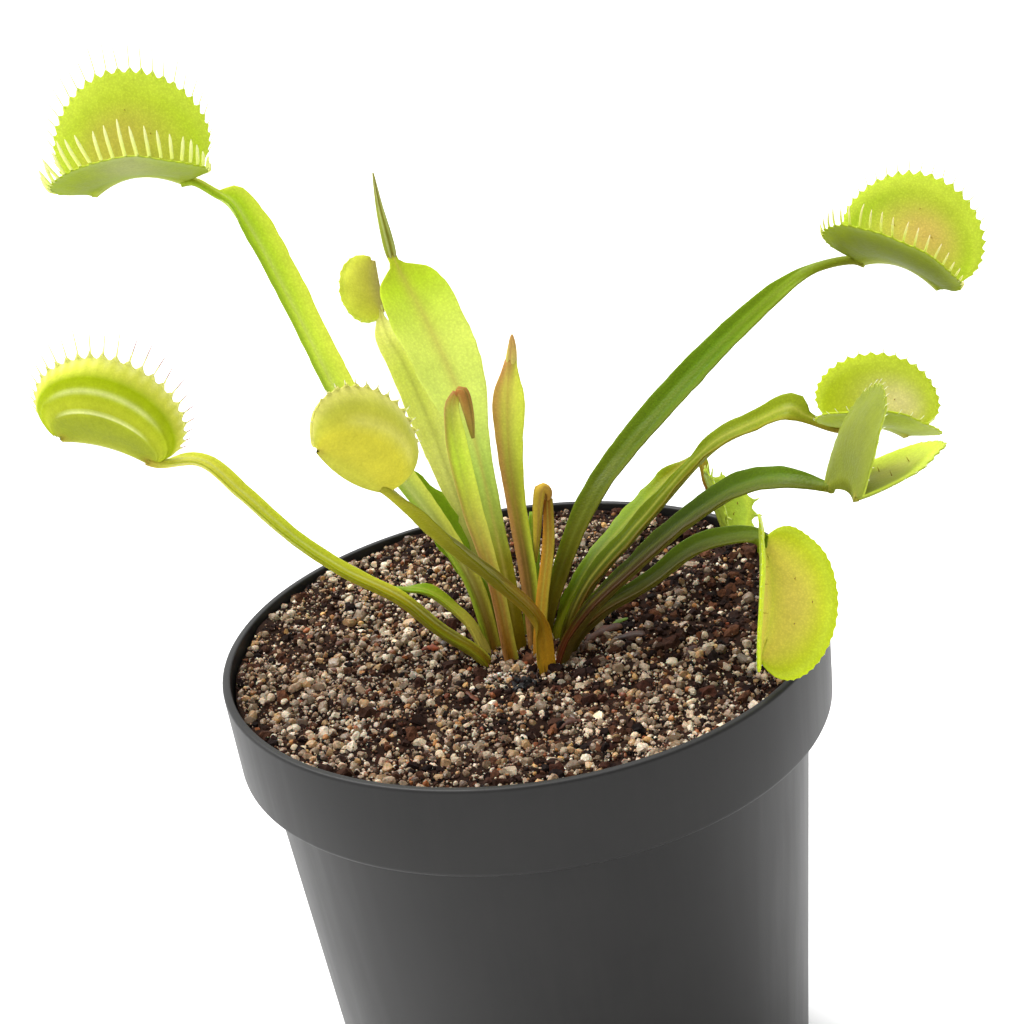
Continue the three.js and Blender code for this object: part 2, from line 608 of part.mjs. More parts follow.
function pot() {
  const under = POT_HEIGHT - BAND_HEIGHT;
  const ledge = under + WALL;
  const profile = [
    [0, 0],
    [bodyRadius(0) - FOOT_CHAMFER, 0],
    [bodyRadius(FOOT_CHAMFER), FOOT_CHAMFER],
    [bodyRadius(under - STEP_ROUND), under - STEP_ROUND],
    [bandRadius(under) - LIP_ROUND, under],
    [bandRadius(under + LIP_ROUND), under + LIP_ROUND],
    [bandRadius(POT_HEIGHT - LIP_ROUND), POT_HEIGHT - LIP_ROUND],
    [RIM_RADIUS - LIP_ROUND, POT_HEIGHT],
    [RIM_RADIUS - WALL + STEP_ROUND, POT_HEIGHT],
    [RIM_RADIUS - WALL, POT_HEIGHT - STEP_ROUND],
    [bandRadius(ledge) - WALL, ledge + LIP_ROUND],
    [bodyRadius(ledge) - WALL, ledge - STEP_ROUND],
    [bodyRadius(FLOOR) - WALL, FLOOR],
    [0, FLOOR],
  ];
  let solid = turned(profile, POT_SIDES);
  for (let k = 0; k < DRAIN_HOLES; k += 1) {
    const angle = (2 * Math.PI * k) / DRAIN_HOLES;
    const hole = new THREE.CylinderGeometry(DRAIN_RADIUS, DRAIN_RADIUS, 3 * FLOOR, DRAIN_SIDES)
      .rotateX(Math.PI / 2)
      .translate(DRAIN_CIRCLE * Math.cos(angle), DRAIN_CIRCLE * Math.sin(angle), FLOOR / 2);
    solid = solid.subtract(solidOf(hole));
  }
  return solid;
}

// Rounded lumps of mix about 12 mm apart, from 0 between them to 1 on top.
function lumps(x, y) {
  const turn = (2 * Math.PI) / LUMP_PITCH;
  const right = x + LUMP_DRIFT * Math.sin(y / LUMP_BEND);
  const back = y + LUMP_DRIFT * Math.sin(x / LUMP_BEND);
  return (1 + Math.cos(turn * right) * Math.cos(turn * back)) / 2;
}

// The filled mix: its sides follow the pot's inside. Its top is lumpy, dips towards the front and
// rises a little to the wall. Round the crown it is even.
function growingMix() {
  const under = POT_HEIGHT - BAND_HEIGHT;
  const ledge = under + WALL;
  const sides = [
    [bodyRadius(FLOOR) - WALL - CLEARANCE, FLOOR + CLEARANCE],
    [bodyRadius(ledge) - WALL - CLEARANCE, ledge],
    [bandRadius(ledge) - WALL - CLEARANCE, ledge + LIP_ROUND + CLEARANCE],
  ];
  const edge = bandRadius(ledge) - WALL - CLEARANCE;
  const points = [new THREE.Vector3(0, 0, FLOOR + CLEARANCE)];
  const ringAt = (r, height) => {
    for (let j = 0; j < MIX_SECTORS; j += 1) {
      const angle = (2 * Math.PI * j) / MIX_SECTORS;
      const [x, y] = [r * Math.cos(angle), r * Math.sin(angle)];
      points.push(new THREE.Vector3(x, y, height(x, y, j)));
    }
  };
  for (const [r, z] of sides) {
    ringAt(r, () => z);
  }
  const rough = (i) => (x, y, j) => CROWN.z - MIX_SINK + MIX_TILT * (y - CROWN.y)
    + MIX_RISE * (i / MIX_RINGS) ** 2
    + (i < CROWN_RINGS ? 0 : LUMP_HEIGHT * lumps(x, y) + MIX_ROUGH * (draw(i, j) - 0.5));
  for (let i = MIX_RINGS; i >= 1; i -= 1) {
    ringAt((edge * i) / MIX_RINGS, rough(i));
  }
  points.push(new THREE.Vector3(0, 0, CROWN.z));
  const last = points.length - 1;
  const rings = (points.length - 2) / MIX_SECTORS;
  const triangles = [];
  for (let j = 0; j < MIX_SECTORS; j += 1) {
    const next = (j + 1) % MIX_SECTORS;
    triangles.push(0, 1 + next, 1 + j);
    for (let i = 0; i + 1 < rings; i += 1) {
      const a = 1 + i * MIX_SECTORS + j;
      const b = 1 + i * MIX_SECTORS + next;
      triangles.push(a, b, b + MIX_SECTORS, a, b + MIX_SECTORS, a + MIX_SECTORS);
    }
    const top = 1 + (rings - 1) * MIX_SECTORS;
    triangles.push(top + j, top + next, last);
  }
  let solid = closed(points, triangles).subtract(rhizome(CLEARANCE));
  for (const row of Object.values(LEAVES)) {
    solid = solid.subtract(socket(row.base));
  }
  return largest(solid);
}

const plant = new THREE.Group();

function add(name, solid, colour) {
  const [shade, roughness] = COLOURS[colour];
  const material = new THREE.MeshStandardMaterial({ color: shade, roughness, metalness: 0 });
  const mesh = new THREE.Mesh(geometryOf(solid), material);
  mesh.name = name;
  plant.add(mesh);
}

add('pot', pot(), 'pot');
add('growing_mix', growingMix(), 'mix');
add('rhizome', rhizome(0), 'rhizome');
for (const [name, row] of Object.entries(LEAVES)) {
  add(name, leaf(row), row.colour);
}

export default plant;
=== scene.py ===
"""The looks of a potted Venus flytrap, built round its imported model.

Lengths are millimetres until mesh_object() turns them into metres. Every leaf is drawn again from
its own row of sizes, finer than the solid that it stands for, with its own colours.
"""

import math

import bmesh
import bpy
import numpy as np
from mathutils import Matrix, Vector


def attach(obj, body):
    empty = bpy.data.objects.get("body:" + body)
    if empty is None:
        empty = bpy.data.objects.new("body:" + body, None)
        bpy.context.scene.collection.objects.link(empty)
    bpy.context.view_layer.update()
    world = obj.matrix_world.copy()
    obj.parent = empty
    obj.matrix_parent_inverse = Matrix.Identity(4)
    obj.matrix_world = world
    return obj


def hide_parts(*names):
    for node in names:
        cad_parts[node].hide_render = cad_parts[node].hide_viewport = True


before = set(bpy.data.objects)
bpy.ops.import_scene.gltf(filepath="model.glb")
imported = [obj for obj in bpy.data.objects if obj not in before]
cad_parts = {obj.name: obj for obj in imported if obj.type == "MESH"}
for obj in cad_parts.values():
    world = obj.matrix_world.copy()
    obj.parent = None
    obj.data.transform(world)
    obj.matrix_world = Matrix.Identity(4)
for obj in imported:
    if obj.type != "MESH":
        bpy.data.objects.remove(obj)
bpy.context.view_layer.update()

MM = 0.001
SEED = 11
CROWN = np.array([0.0, -2.5, 72.6])

# Camera
CAMERA_PLACE = (0.0, -235.44, 194.44)
CAMERA_RIGHT = (0.98904, -0.06197, -0.13403)
CAMERA_UP = (0.14763, 0.39570, 0.90644)
CAMERA_LENS = 70.31
SENSOR = 36.0
CLIP_NEAR = 0.01
CLIP_FAR = 20.0

# Stage: a white floor in metres, a sky brighter to one side and white at the horizon, a soft key
STAGE_REACH = 60.0
STAGE_WHITES = ((0.955, 0.955, 0.955), (0.97, 0.97, 0.97))
SKY_TOWARD = (-0.6, 0.35, 0.7)
SKY_EDGE = -0.5
SKY_LOW = 0.35
SKY_HIGH = 1.68
HORIZON = 0.05
KEY_FROM = (-0.27, 0.42, 0.85)
KEY_STRENGTH = 2.95
KEY_SOFTNESS = 26.0

# Pot, as modelled
POT_HEIGHT = 75.0
RIM_RADIUS = 40.0
BAND_HEIGHT = 12.2
BAND_DRAFT = 0.4
BAND_STEP = 3.1
TAPER = 0.075
WALL = 1.1
FLOOR = 1.4
BAND_UNDER = POT_HEIGHT - BAND_HEIGHT
LEDGE = BAND_UNDER + WALL
DRAIN_HOLES = 8
DRAIN_RADIUS = 2.7
DRAIN_CIRCLE = 22.0
DRAIN_SIDES = 24
POT_SIDES = 192
FOOT_ROUND = 0.7
SHOULDER_ROUND = 0.5
SKIRT_ROUND = 0.7
RIM_ROUND = (0.45, 0.3)
LEDGE_ROUND = (0.5, 0.4)
INNER_ROUND = 0.8
CORNER_STEPS = 6
POT_TINT = "#3c3e40"
POT_DARK = (0.0112, 0.0108, 0.0105)
POT_LIGHT = (0.0155, 0.0149, 0.0144)
POT_WORN = (0.022, 0.021, 0.0202)
POT_DUST = (0.032, 0.029, 0.026)

# Growing mix. Pairs are the start and the end of a smooth change, and of CLODS height and pitch.
CLEARANCE = 0.3
MIX_TILT = 0.015
MIX_RISE = 0.8
MIX_SINK = 0.48
MIX_STEP = 0.6
MIX_SIDES = 180
MIX_MARGIN = 0.35
MIX_CHAMFER = 0.7
MIX_MIDDLE = 0.3
EVEN_CROWN = (7, 13)
NEAR_WALL = (32, 38)
LUMP_HEIGHT = 1.1
LUMP_PITCH = 17.0
LUMP_DRIFT = 2.2
LUMP_BEND = 8.0
CLODS = ((0.22, 3.4), (0.14, 1.5))
CLODS_WORN = 0.6
PEAT_ROUGH = 0.2
PEAT_PITCH = 0.7

# Sand in the mix: patches by amount and pitch, and less of it to the right of the crown
SAND_SHARE = 0.57
SAND_PATCHES = ((0.6, 4.3), (0.55, 1.9))
SAND_GAIN = 1.25
SAND_MORE = 0.14
SAND_LOSS = 0.75
SAND_LOSS_X = (-2, 20)
SAND_LOSS_Y = (-24, 0)

# Grains: their colours, and how they are cut, laid and shaded
MIX_SHADE = 0.79
PEAT_BASE = "#2a1a12"
QUARTZ = ["#b9a48c", "#a08a70", "#cdb99c", "#86715a", "#d8c8b0", "#ab8a62", "#927a62", "#6a5442"]
AMBER = ["#a5713c", "#b98f55", "#8a5228", "#c7a066", "#9c5a30", "#7a3f22"]
PEAT = ["#2b1a14", "#3a241b", "#4a2e20", "#241613", "#1c1311", "#5a3826", "#3f2319"]
PERLITE = ["#d8cdbd", "#c9bba8", "#e3dccf", "#b8a692"]
CHARCOAL = ["#100d0e", "#17110f", "#0c0b10"]
COARSE_GRAIN = 0.84
FLAT_AT = (0.5, 0.85)
SETTLING = (-0.2, 0.14)
HEAP_HEIGHT = 0.5
SHADE_LIMITS = (0.4, 1.8)

# Places on the mix, in x and y: heaps of grains with their spread and number, and scraps as x, y,
# bearing, length, width, bend and colour
PALE_HEAPS = [((-4.6, -8.0), 1.3, 22), ((-22.5, -14.5), 1.5, 14), ((5.5, -7.0), 1.3, 8),
              ((13.0, 2.0), 1.4, 6), ((-15.0, -4.0), 1.2, 6)]
BLACK_HEAP = ((-0.6, -10.6), 0.7, 16)
SCRAPS = [(10.5, -1.5, 20, 6.0, 1.6, 0.5, "#4f2d1b"), (13.5, -4.0, -15, 4.5, 1.3, 0.35, "#3c2115"),
          (8.0, -3.5, 55, 3.5, 1.0, 0.4, "#5c3a20"), (12.6, 0.2, 40, 4.2, 1.0, 0.4, "#6c8a2a"),
          (1.5, -9.0, 78, 4.2, 0.3, 0.5, "#2a1410"), (-12.5, 1.0, 10, 2.4, 1.3, 0.5, "#8a3f1e"),
          (-7.5, -12.5, 120, 2.6, 1.1, 0.4, "#6b3a22"), (21.0, -10.0, 60, 3.2, 1.0, 0.5, "#4a2a1c"),
          (-24.0, 6.0, 30, 2.8, 0.9, 0.4, "#5a3422"), (4.0, -24.0, 15, 3.0, 0.9, 0.5, "#54301f")]
SCRAP_STEPS = 11
SCRAP_LIFT = 0.35
SCRAP_ARCH = 0.5
SCRAP_RAGGED = 0.45
SCRAP_MOTTLE = 0.25
SCRAP_FLAT = 0.16

PEAT_LOOK = dict(roughness=0.8, rough_spread=0.15, through=0.0, mottle=0.5, speck=0.3, shine=0.08)
SCRAP_LOOK = dict(roughness=0.5, rough_spread=0.2, through=0.1, mottle=0.35, speck=0.15)
CRUMB_LOOK = dict(roughness=0.7, rough_spread=0.25, through=0.0, mottle=0.5, speck=0.25, shine=0.1)

# Layers of grains, from the first laid to the last. pitch, keep and sink say how they are strewn:
# keep is the share kept in bare peat and how much sand adds to it. size is the least and the most
# in millimetres, or the median, the spread and the limits. shape is for grains(), look for
# grain_material().
QUARTZ_LAYER = dict(pitch=0.98, keep=(0.14, 0.8), sink=0.08, size=(0.92, 0.36, 0.35, 2.1),
                    colours=QUARTZ, spread=0.24,
                    look=dict(roughness=0.2, rough_spread=0.3, through=0.3, mottle=0.34, speck=0.16))
LAYERS = {
    "fine_quartz": dict(
        pitch=0.6, keep=(0.2, 0.6), sink=0.0, size=(0.22, 0.5), colours=QUARTZ, spread=0.3,
        look=dict(roughness=0.25, rough_spread=0.3, through=0.25, mottle=0.3, speck=0.12),
        shape=dict(level=1, planes=4)),
    "amber": dict(
        pitch=2.2, keep=(0.3, 0.2), sink=0.05, size=(0.5, 1.15), colours=AMBER, spread=0.18,
        look=dict(roughness=0.3, rough_spread=0.3, through=0.25, mottle=0.3, speck=0.14),
        shape=dict(planes=7)),
    "crumb": dict(
        piece="mix_crumbs", pitch=1.1, keep=(0.75, -0.5), sink=0.14, size=(0.95, 0.4, 0.4, 2.4),
        colours=PEAT, spread=0.3, look=CRUMB_LOOK, shape=dict(planes=3, lumpy=0.3)),
    "fine_crumb": dict(
        piece="mix_fine_crumbs", pitch=0.62, keep=(0.42, -0.1), sink=-0.02, size=(0.25, 0.6),
        colours=PEAT, spread=0.35, look=CRUMB_LOOK, shape=dict(level=1, planes=2, lumpy=0.25)),
    "perlite": dict(
        heaps=PALE_HEAPS, sink=0.1, size=(0.45, 1.05), colours=PERLITE, spread=0.1,
        look=dict(roughness=0.3, rough_spread=0.3, through=0.4, mottle=0.15, speck=0.08),
        shape=dict(planes=9)),
    "black_crumb": dict(
        heaps=[BLACK_HEAP], sink=0.0, size=(0.8, 1.7), colours=CHARCOAL, spread=0.2,
        look=dict(roughness=0.35, rough_spread=0.3, through=0.0, mottle=0.4, speck=0.3),
        shape=dict(planes=5, lumpy=0.3)),
}

# Rhizome
RHIZOME_PALE = (0.55, 0.47, 0.3)
RHIZOME_DARK = (0.28, 0.2, 0.11)

# Leaves, as modelled
LEAF_BOTTOM = 6.0
ROOTED_INWARD = 0.9
BLADE_TILT = 0.55
GROOVE = 0.35
KEEL = 0.65
NECK_SINK = 1.6
HINGE_END = 0.86
EDGE_ARCH = 0.7
LOBE_CROWN = 0.94

# The finer forms of this script. Spreads and tapers are shares of the form that they belong to.
SEED_STEP = 3.1
PATH_SAMPLES = 400
BLADE_EDGE = 0.36
BLADE_PITCH = 0.75
BLADE_COLUMNS = 18
BLADE_ROUND = 14
BLADE_UNEVEN = 0.05
RIB_SPREAD = 0.62
RIB_RISE = 0.12
GROOVE_DEPTH = 0.2
GROOVE_SPREAD = 0.3
VEE_SOFTNESS = 0.03
LOBE_SKIN = 0.44
LOBE_RIB = 1.3
LOBE_RIB_SPREAD = 0.09
LOBE_REACH = 0.97
MARGIN_THIN = 0.8
TEETH_FROM = 0.84
TEETH_FADE = 0.6
NEAR_TURN = 0.01
NEAR_SIDE = 0.02
STEPS_A_TOOTH = 5
CILIUM_STEPS = 8
CILIUM_SIDES = 6
CILIUM_ROOT = 0.55
CILIUM_TIP = 0.012
CILIUM_TAPER = 0.88
CILIUM_FLAT = 0.6
CILIUM_BOW = 0.4
CILIUM_SWAY = 0.12
BEND_VARIES = 0.25
LENGTH_VARIES = 0.16
END_TEETH = 0.22
TRIGGER_HAIRS = ((0.34, 0.42), (0.66, 0.42), (0.5, 0.64))
TRIGGER_LENGTH = 0.9
TRIGGER_THICK = 0.09
TRIGGER_TAPER = 0.85
ACROSS_HAIRS = np.array([0.31, 0.22, 0.92])
BUD_SIDES = 32
BUD_PITCH = 0.3
BUD_PINCH = 0.34
BUD_SWELL = 1.12
RUFFLE_PITCH = 2.6
RIDGE_HEIGHT = 0.16
VEIN_WANDER = 9.0
BARE_END = 0.4
LEAF_SHADE = 0.83

# Colours of the leaves, some with their amount
UNDER_TINT = ("#a8a03c", 0.25)
BASE_TINT = ("#7c6a1e", 0.12)
FLECK_TINT = ("#5b3a1c", 0.6)
MARGIN_TINT = ("#d8e64c", 0.45)
TRIGGER_TINT = "#9c7a35"
RUST = "#8f5a26"
MAROON = "#5a2c18"
OPEN_INSIDE = [(0, "#c8cc4a"), (0.35, "#d3da50"), (0.75, "#cfe43c"), (1, "#d6ea48")]

# What holds for a leaf, a trap and a bud where the row of the leaf says nothing else
COMMON_LEAF = dict(slot="leaf_green", front=0, fold=22.0, lop=0, neck=1, jag=0.03, jag_pitch=1.1,
                   ruffle=0.12, rib_tint=("#d0c85c", 0.3))
COMMON_TRAP = dict(arch=0, curl=0.5, wavy=0.25, scallop=0.5, columns=18, ridges=[],
                   # The broad painted highlight on the outer face: colour, amount, middle and width
                   # round the lobe; none by default.
                   centre=("#d3b84e", 0), centre_at=0.5, painted_sheen=("#c3c6a0", 0, 0.5, 0.2),
                   neck_tint="#a98a40", hinge_tint="#b5bd48")
COMMON_BUD = dict(low=1, blunt=0.2, stripes=4, pointed=False, seam_tint="#7c5a2a")

# The fringe of a lobe, in the same way: length and thickness of its cilia, how far they bend
# inwards in degrees, how far up the lobe they fan out from, how late they taper, their colours from
# root to tip, and a flush of colour on those before a turn round the lobe's edge
FRINGE = dict(long=1.2, stout=0.1, inward=25, fan=0.2, taper=1.5, tints=("#d3e05a", "#f4f4dc"),
              flush=("#a8506a", -math.pi))

# The zones of a leaf, and the plant skin of each, for leaf_material(), in the same order
STALK, INSIDE, OUTSIDE, CILIA = range(4)
SKINS = {
    "leaf_blade": dict(gloss=0.42, shine=0.08, cell_scale=3000.0, cell_depth=0.07, vein_pitch=0.8,
                       vein_depth=0.01, blotch=0.05, through=0.1),
    "lobe_inside": dict(gloss=0.44, shine=0.1, cell_scale=3600.0, cell_depth=0.09, vein_pitch=1.1,
                        vein_depth=0.02, blotch=0.045, through=0.12),
    "lobe_outside": dict(gloss=0.5, shine=0.04, cell_scale=3400.0, cell_depth=0.05, vein_pitch=0.9,
                         vein_depth=0.02, blotch=0.08, through=0.08),
    "cilium": dict(gloss=0.4, shine=0.1, cell_scale=5000.0, cell_depth=0.02, vein_pitch=0.3,
                   vein_depth=0.01, blotch=0.03, through=0.2),
}

rng = np.random.default_rng(SEED)


def smooth(low, high, value):
    """0 below low, 1 above high and a smooth rise between them."""
    t = np.clip((value - low) / (high - low), 0, 1)
    return t * t * (3 - 2 * t)


def bell(value, centre, width):
    return np.exp(-(((value - centre) / width) ** 2))


def linear(colour):
    """A colour written as #rrggbb, or given as three numbers, in linear light."""
    if not isinstance(colour, str):
        return np.asarray(colour, float)
    parts = np.array([int(colour[i:i + 2], 16) / 255 for i in (1, 3, 5)])
    return np.where(parts <= 0.04045, parts / 12.92, ((parts + 0.055) / 1.055) ** 2.4)


def blend(base, colour, amount):
    """Mixes a colour into an array of colours, by an amount at each point."""
    return base + (linear(colour) - base) * np.asarray(amount)[..., None]


def stops(places, table):
    """Colours at places between 0 and 1, from a list of (place, colour)."""
    at = [p for p, _ in table]
    colours = np.array([linear(c) for _, c in table])
    return np.stack([np.interp(places, at, colours[:, k]) for k in range(3)], axis=-1)


class Noise:
    """Smooth noise between -1 and 1 on a plane, from a seeded grid that repeats.

    A number added to a place only takes it to another part of the noise.
    """

    SIZE = 64

    def __init__(self, seed):
        self.grid = np.random.default_rng(seed).uniform(-1, 1, (self.SIZE, self.SIZE))

    def __call__(self, x, y):
        x, y = np.broadcast_arrays(np.asarray(x, float), np.asarray(y, float))
        i, j = np.floor(x).astype(int), np.floor(y).astype(int)
        u, v = x - i, y - j
        u, v = u * u * (3 - 2 * u), v * v * (3 - 2 * v)

        def cell(a, b):
            return self.grid[(i + a) % self.SIZE, (j + b) % self.SIZE]

        low = cell(0, 0) * (1 - u) + cell(1, 0) * u
        high = cell(0, 1) * (1 - u) + cell(1, 1) * u
        return low * (1 - v) + high * v


noise = Noise(SEED)


def at_crown(point):
    """A place by bearing in degrees, reach from the crown and height above the mix there."""
    bearing, reach, height = point
    angle = math.radians(bearing)
    return CROWN + np.array([reach * math.cos(angle), reach * math.sin(angle), height])


def unit(vectors):
    return vectors / np.linalg.norm(vectors, axis=-1, keepdims=True)


def neighbours(padded, places):
    """The four entries of a padded list round each place from 0 to 1, and how far between them."""
    last = len(padded) - 3
    slot = np.clip(np.asarray(places) * last, 0, last - 1e-9)
    i = slot.astype(int)
    return [padded[i + k] for k in range(4)], slot - i


def curve(path, places):
    """Points and directions on the centripetal spline through a path, at places from 0 to 1."""
    path = np.asarray(path, float)
    padded = np.vstack([2 * path[0] - path[1], path, 2 * path[-1] - path[-2]])
    (p0, p1, p2, p3), w = neighbours(padded, places)
    w = w[:, None]
    d0, d1, d2 = (np.sqrt(np.linalg.norm(b - a, axis=1))[:, None]
                  for a, b in ((p0, p1), (p1, p2), (p2, p3)))
    t1 = ((p1 - p0) / d0 - (p2 - p0) / (d0 + d1) + (p2 - p1) / d1) * d1
    t2 = ((p2 - p1) / d1 - (p3 - p1) / (d1 + d2) + (p3 - p2) / d2) * d1
    c2 = -3 * p1 + 3 * p2 - 2 * t1 - t2
    c3 = 2 * p1 - 2 * p2 + t1 + t2
    points = p1 + t1 * w + c2 * w**2 + c3 * w**3
    return points, unit(t1 + 2 * c2 * w + 3 * c3 * w**2)


def along(values, places):
    """A smooth run through a list of values, at places from 0 to 1."""
    padded = np.array([values[0], *values, values[-1]], float)
    (p0, p1, p2, p3), w = neighbours(padded, places)
    a, b = (p2 - p0) / 2, (p3 - p1) / 2
    return p1 + a * w + (3 * (p2 - p1) - 2 * a - b) * w**2 + (2 * (p1 - p2) + a + b) * w**3


def carried(tangent, start):
    """A sideways direction at each point of a path, turned no more than the path turns it."""
    sides = []
    side = start
    for ahead in tangent:
        side = unit(side - ahead * side.dot(ahead))
        sides.append(side)
    return np.array(sides)


def even_places(path, pitch):
    """Places along a path that lie an even pitch apart, and their distance from the start."""
    dense = np.linspace(0, 1, PATH_SAMPLES)
    points, _ = curve(path, dense)
    far = np.concatenate([[0], np.cumsum(np.linalg.norm(np.diff(points, axis=0), axis=1))])
    count = max(8, int(round(far[-1] / pitch)))
    even = np.linspace(0, far[-1], count + 1)
    return np.interp(even, far, dense), even


class Shape:
    """Points and faces gathered from closed grids, with a colour, a place and a zone at each."""

    def __init__(self):
        self.points, self.faces, self.tint, self.place, self.zones = [], [], [], [], []
        self.count = 0

    def add(self, points, faces, tint, zone, across=0.0, run=0.0):
        points = np.asarray(points, float).reshape(-1, 3)
        number = len(points)
        self.points.append(points)
        self.tint.append(np.broadcast_to(tint, (number, 3)))
        place = np.stack([np.broadcast_to(across, number), np.broadcast_to(run, number)], axis=1)
        self.place.append(place)
        self.faces.extend([tuple(k + self.count for k in face) for face in faces])
        self.zones.append(np.broadcast_to(zone, len(faces)))
        self.count += number

    def tube(self, rings, tint, zone, across=0.0, run=0.0):
        """A body through rings of points, shaped (rings, points, 3), with flat ends."""
        rows, wide = rings.shape[:2]
        faces = []
        for i in range(rows - 1):
            a = i * wide
            for j in range(wide):
                k = (j + 1) % wide
                faces.append((a + j, a + k, a + wide + k, a + wide + j))
        faces.append(tuple(range(wide - 1, -1, -1)))
        faces.append(tuple(range((rows - 1) * wide, rows * wide)))
        self.add(rings, faces, np.asarray(tint).reshape(-1, 3) if np.ndim(tint) > 1 else tint,
                 zone, np.ravel(across), np.ravel(run))


def circle(radius, z, sides, centre=(0, 0)):
    """A level ring of points."""
    angle = np.arange(sides) / sides * math.tau
    x, y = centre[0] + radius * np.cos(angle), centre[1] + radius * np.sin(angle)
    return np.stack([x, y, np.full(sides, z)], axis=-1)


def in_scene(name, data):
    """An object of its data, put in the scene."""
    made = bpy.data.objects.new(name, data)
    bpy.context.scene.collection.objects.link(made)
    return made


def mesh_object(name, shape, materials, soften=True):
    """A piece in metres from a shape, with its tint and places for the materials."""
    points = np.concatenate(shape.points) * MM
    mesh = bpy.data.meshes.new(name)
    mesh.from_pydata(points.tolist(), [], shape.faces)
    tint = np.concatenate(shape.tint)
    colour = mesh.color_attributes.new("tint", "FLOAT_COLOR", "POINT")
    colour.data.foreach_set("color", np.c_[tint, np.ones(len(tint))].astype(np.float32).ravel())
    place = np.concatenate(shape.place)
    for column, title in enumerate(("across", "run")):
        values = mesh.attributes.new(title, "FLOAT", "POINT")
        values.data.foreach_set("value", place[:, column].astype(np.float32))
    for material in materials:
        mesh.materials.append(material)
    mesh.polygons.foreach_set("material_index", np.concatenate(shape.zones).astype(np.int32))
    mesh.polygons.foreach_set("use_smooth", [soften] * len(mesh.polygons))
    mesh.update()
    piece = in_scene(name, mesh)
    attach(piece, "root")
    return piece


# Materials


class Nodes:
    """Short ways to add nodes to a new material or world."""

    def __init__(self, name, kind=bpy.data.materials, shader="Principled BSDF"):
        self.owner = kind.new(name)
        self.owner.use_nodes = True
        self.tree = self.owner.node_tree
        self.shader = self.tree.nodes[shader]

    def node(self, kind, **inputs):
        made = self.tree.nodes.new(kind)
        self.fill(made, inputs)
        return made

    def fill(self, node, inputs):
        """Sets sockets by their names, with a low line for each space."""
        for key, value in inputs.items():
            self.put(value, node.inputs[key.replace("_", " ")])

    def put(self, value, socket):
        if isinstance(value, bpy.types.NodeSocket):
            self.tree.links.new(value, socket)
        else:
            socket.default_value = value

    def math(self, operation, *values):
        made = self.tree.nodes.new("ShaderNodeMath")
        made.operation = operation
        for value, socket in zip(values, made.inputs):
            self.put(value, socket)
        return made.outputs[0]

    def times(self, a, b):
        return self.math("MULTIPLY", a, b)

    def add(self, total, *others):
        for value in others:
            total = self.math("ADD", total, value)
        return total

    def attribute(self, name, output):
        made = self.tree.nodes.new("ShaderNodeAttribute")
        made.attribute_name = name
        return made.outputs[output]

    def spot(self):
        return self.node("ShaderNodeTexCoord").outputs["Object"]

    def noise(self, scale, detail, roughness=0.55, vector=None):
        made = self.node("ShaderNodeTexNoise", Scale=scale, Detail=detail, Roughness=roughness,
                         Vector=self.spot() if vector is None else vector)
        return made.outputs["Fac"]

    def cells(self, scale):
        return self.node("ShaderNodeTexVoronoi", Vector=self.spot(), Scale=scale).outputs["Distance"]

    def ramp(self, value, out_low, out_high, low=0.3, high=0.7, kind="LINEAR"):
        """A rise from out_low to out_high, as the value goes from low to high."""
        made = self.node("ShaderNodeMapRange", Value=value, From_Min=low, From_Max=high,
                         To_Min=out_low, To_Max=out_high)
        made.interpolation_type = kind
        return made.outputs["Result"]

    def vector_math(self, operation, first, other, socket, output):
        """Vector math of a first input and of the one at the socket."""
        made = self.tree.nodes.new("ShaderNodeVectorMath")
        made.operation = operation
        self.put(first, made.inputs[0])
        self.put(other, made.inputs[socket])
        return made.outputs[output]

    def scaled(self, colour, factor):
        return self.vector_math("SCALE", colour, factor, "Scale", "Vector")

    def mixed(self, factor, a, b):
        made = self.tree.nodes.new("ShaderNodeMix")
        made.data_type = "RGBA"
        self.put(factor, made.inputs["Factor"])
        for value, socket in ((a, made.inputs[6]), (b, made.inputs[7])):
            self.put((*value, 1.0) if isinstance(value, tuple) else value, socket)
        return made.outputs[2]

    def bump(self, height, strength, distance):
        made = self.node("ShaderNodeBump", Height=height, Strength=strength, Distance=distance)
        self.tree.links.new(made.outputs["Normal"], self.shader.inputs["Normal"])

    def set(self, **inputs):
        self.fill(self.shader, inputs)


def leaf_material(name, gloss, shine, cell_scale, cell_depth, vein_pitch, vein_depth, blotch, through):
    """Plant skin: the piece's own tint with blotches, fine cells and soft veins along the blade."""
    nodes = Nodes(name)
    blotches = nodes.noise(scale=420.0, detail=4.0)
    fine = nodes.noise(scale=2600.0, detail=2.0)
    cells = nodes.cells(cell_scale)
    wander = nodes.times(nodes.noise(scale=330.0, detail=3.0), VEIN_WANDER)
    place = nodes.times(nodes.attribute("across", "Fac"), math.tau / vein_pitch)
    broken = nodes.ramp(nodes.noise(scale=700.0, detail=2.0), 0.0, 1.0, 0.35, 0.65)
    wave = nodes.times(nodes.math("SINE", nodes.add(place, wander)), broken)
    shade = nodes.add(nodes.ramp(blotches, 1 - blotch, 1 + blotch),
                      nodes.times(wave, vein_depth),
                      nodes.ramp(cells, cell_depth, -cell_depth, 0.0, 0.6),
                      nodes.ramp(fine, -0.05, 0.05))
    nodes.set(Base_Color=nodes.scaled(nodes.attribute("tint", "Color"), shade),
              Roughness=nodes.ramp(blotches, gloss - 0.06, gloss + 0.08),
              Specular_IOR_Level=shine, Subsurface_Weight=through, Subsurface_Scale=0.0012,
              Subsurface_Radius=(0.8, 1.0, 0.2), IOR=1.42)
    height = nodes.add(nodes.times(wave, 0.3), nodes.times(cells, -1.0), nodes.times(fine, 0.8))
    nodes.bump(height, strength=0.3, distance=0.00008)
    return nodes.owner


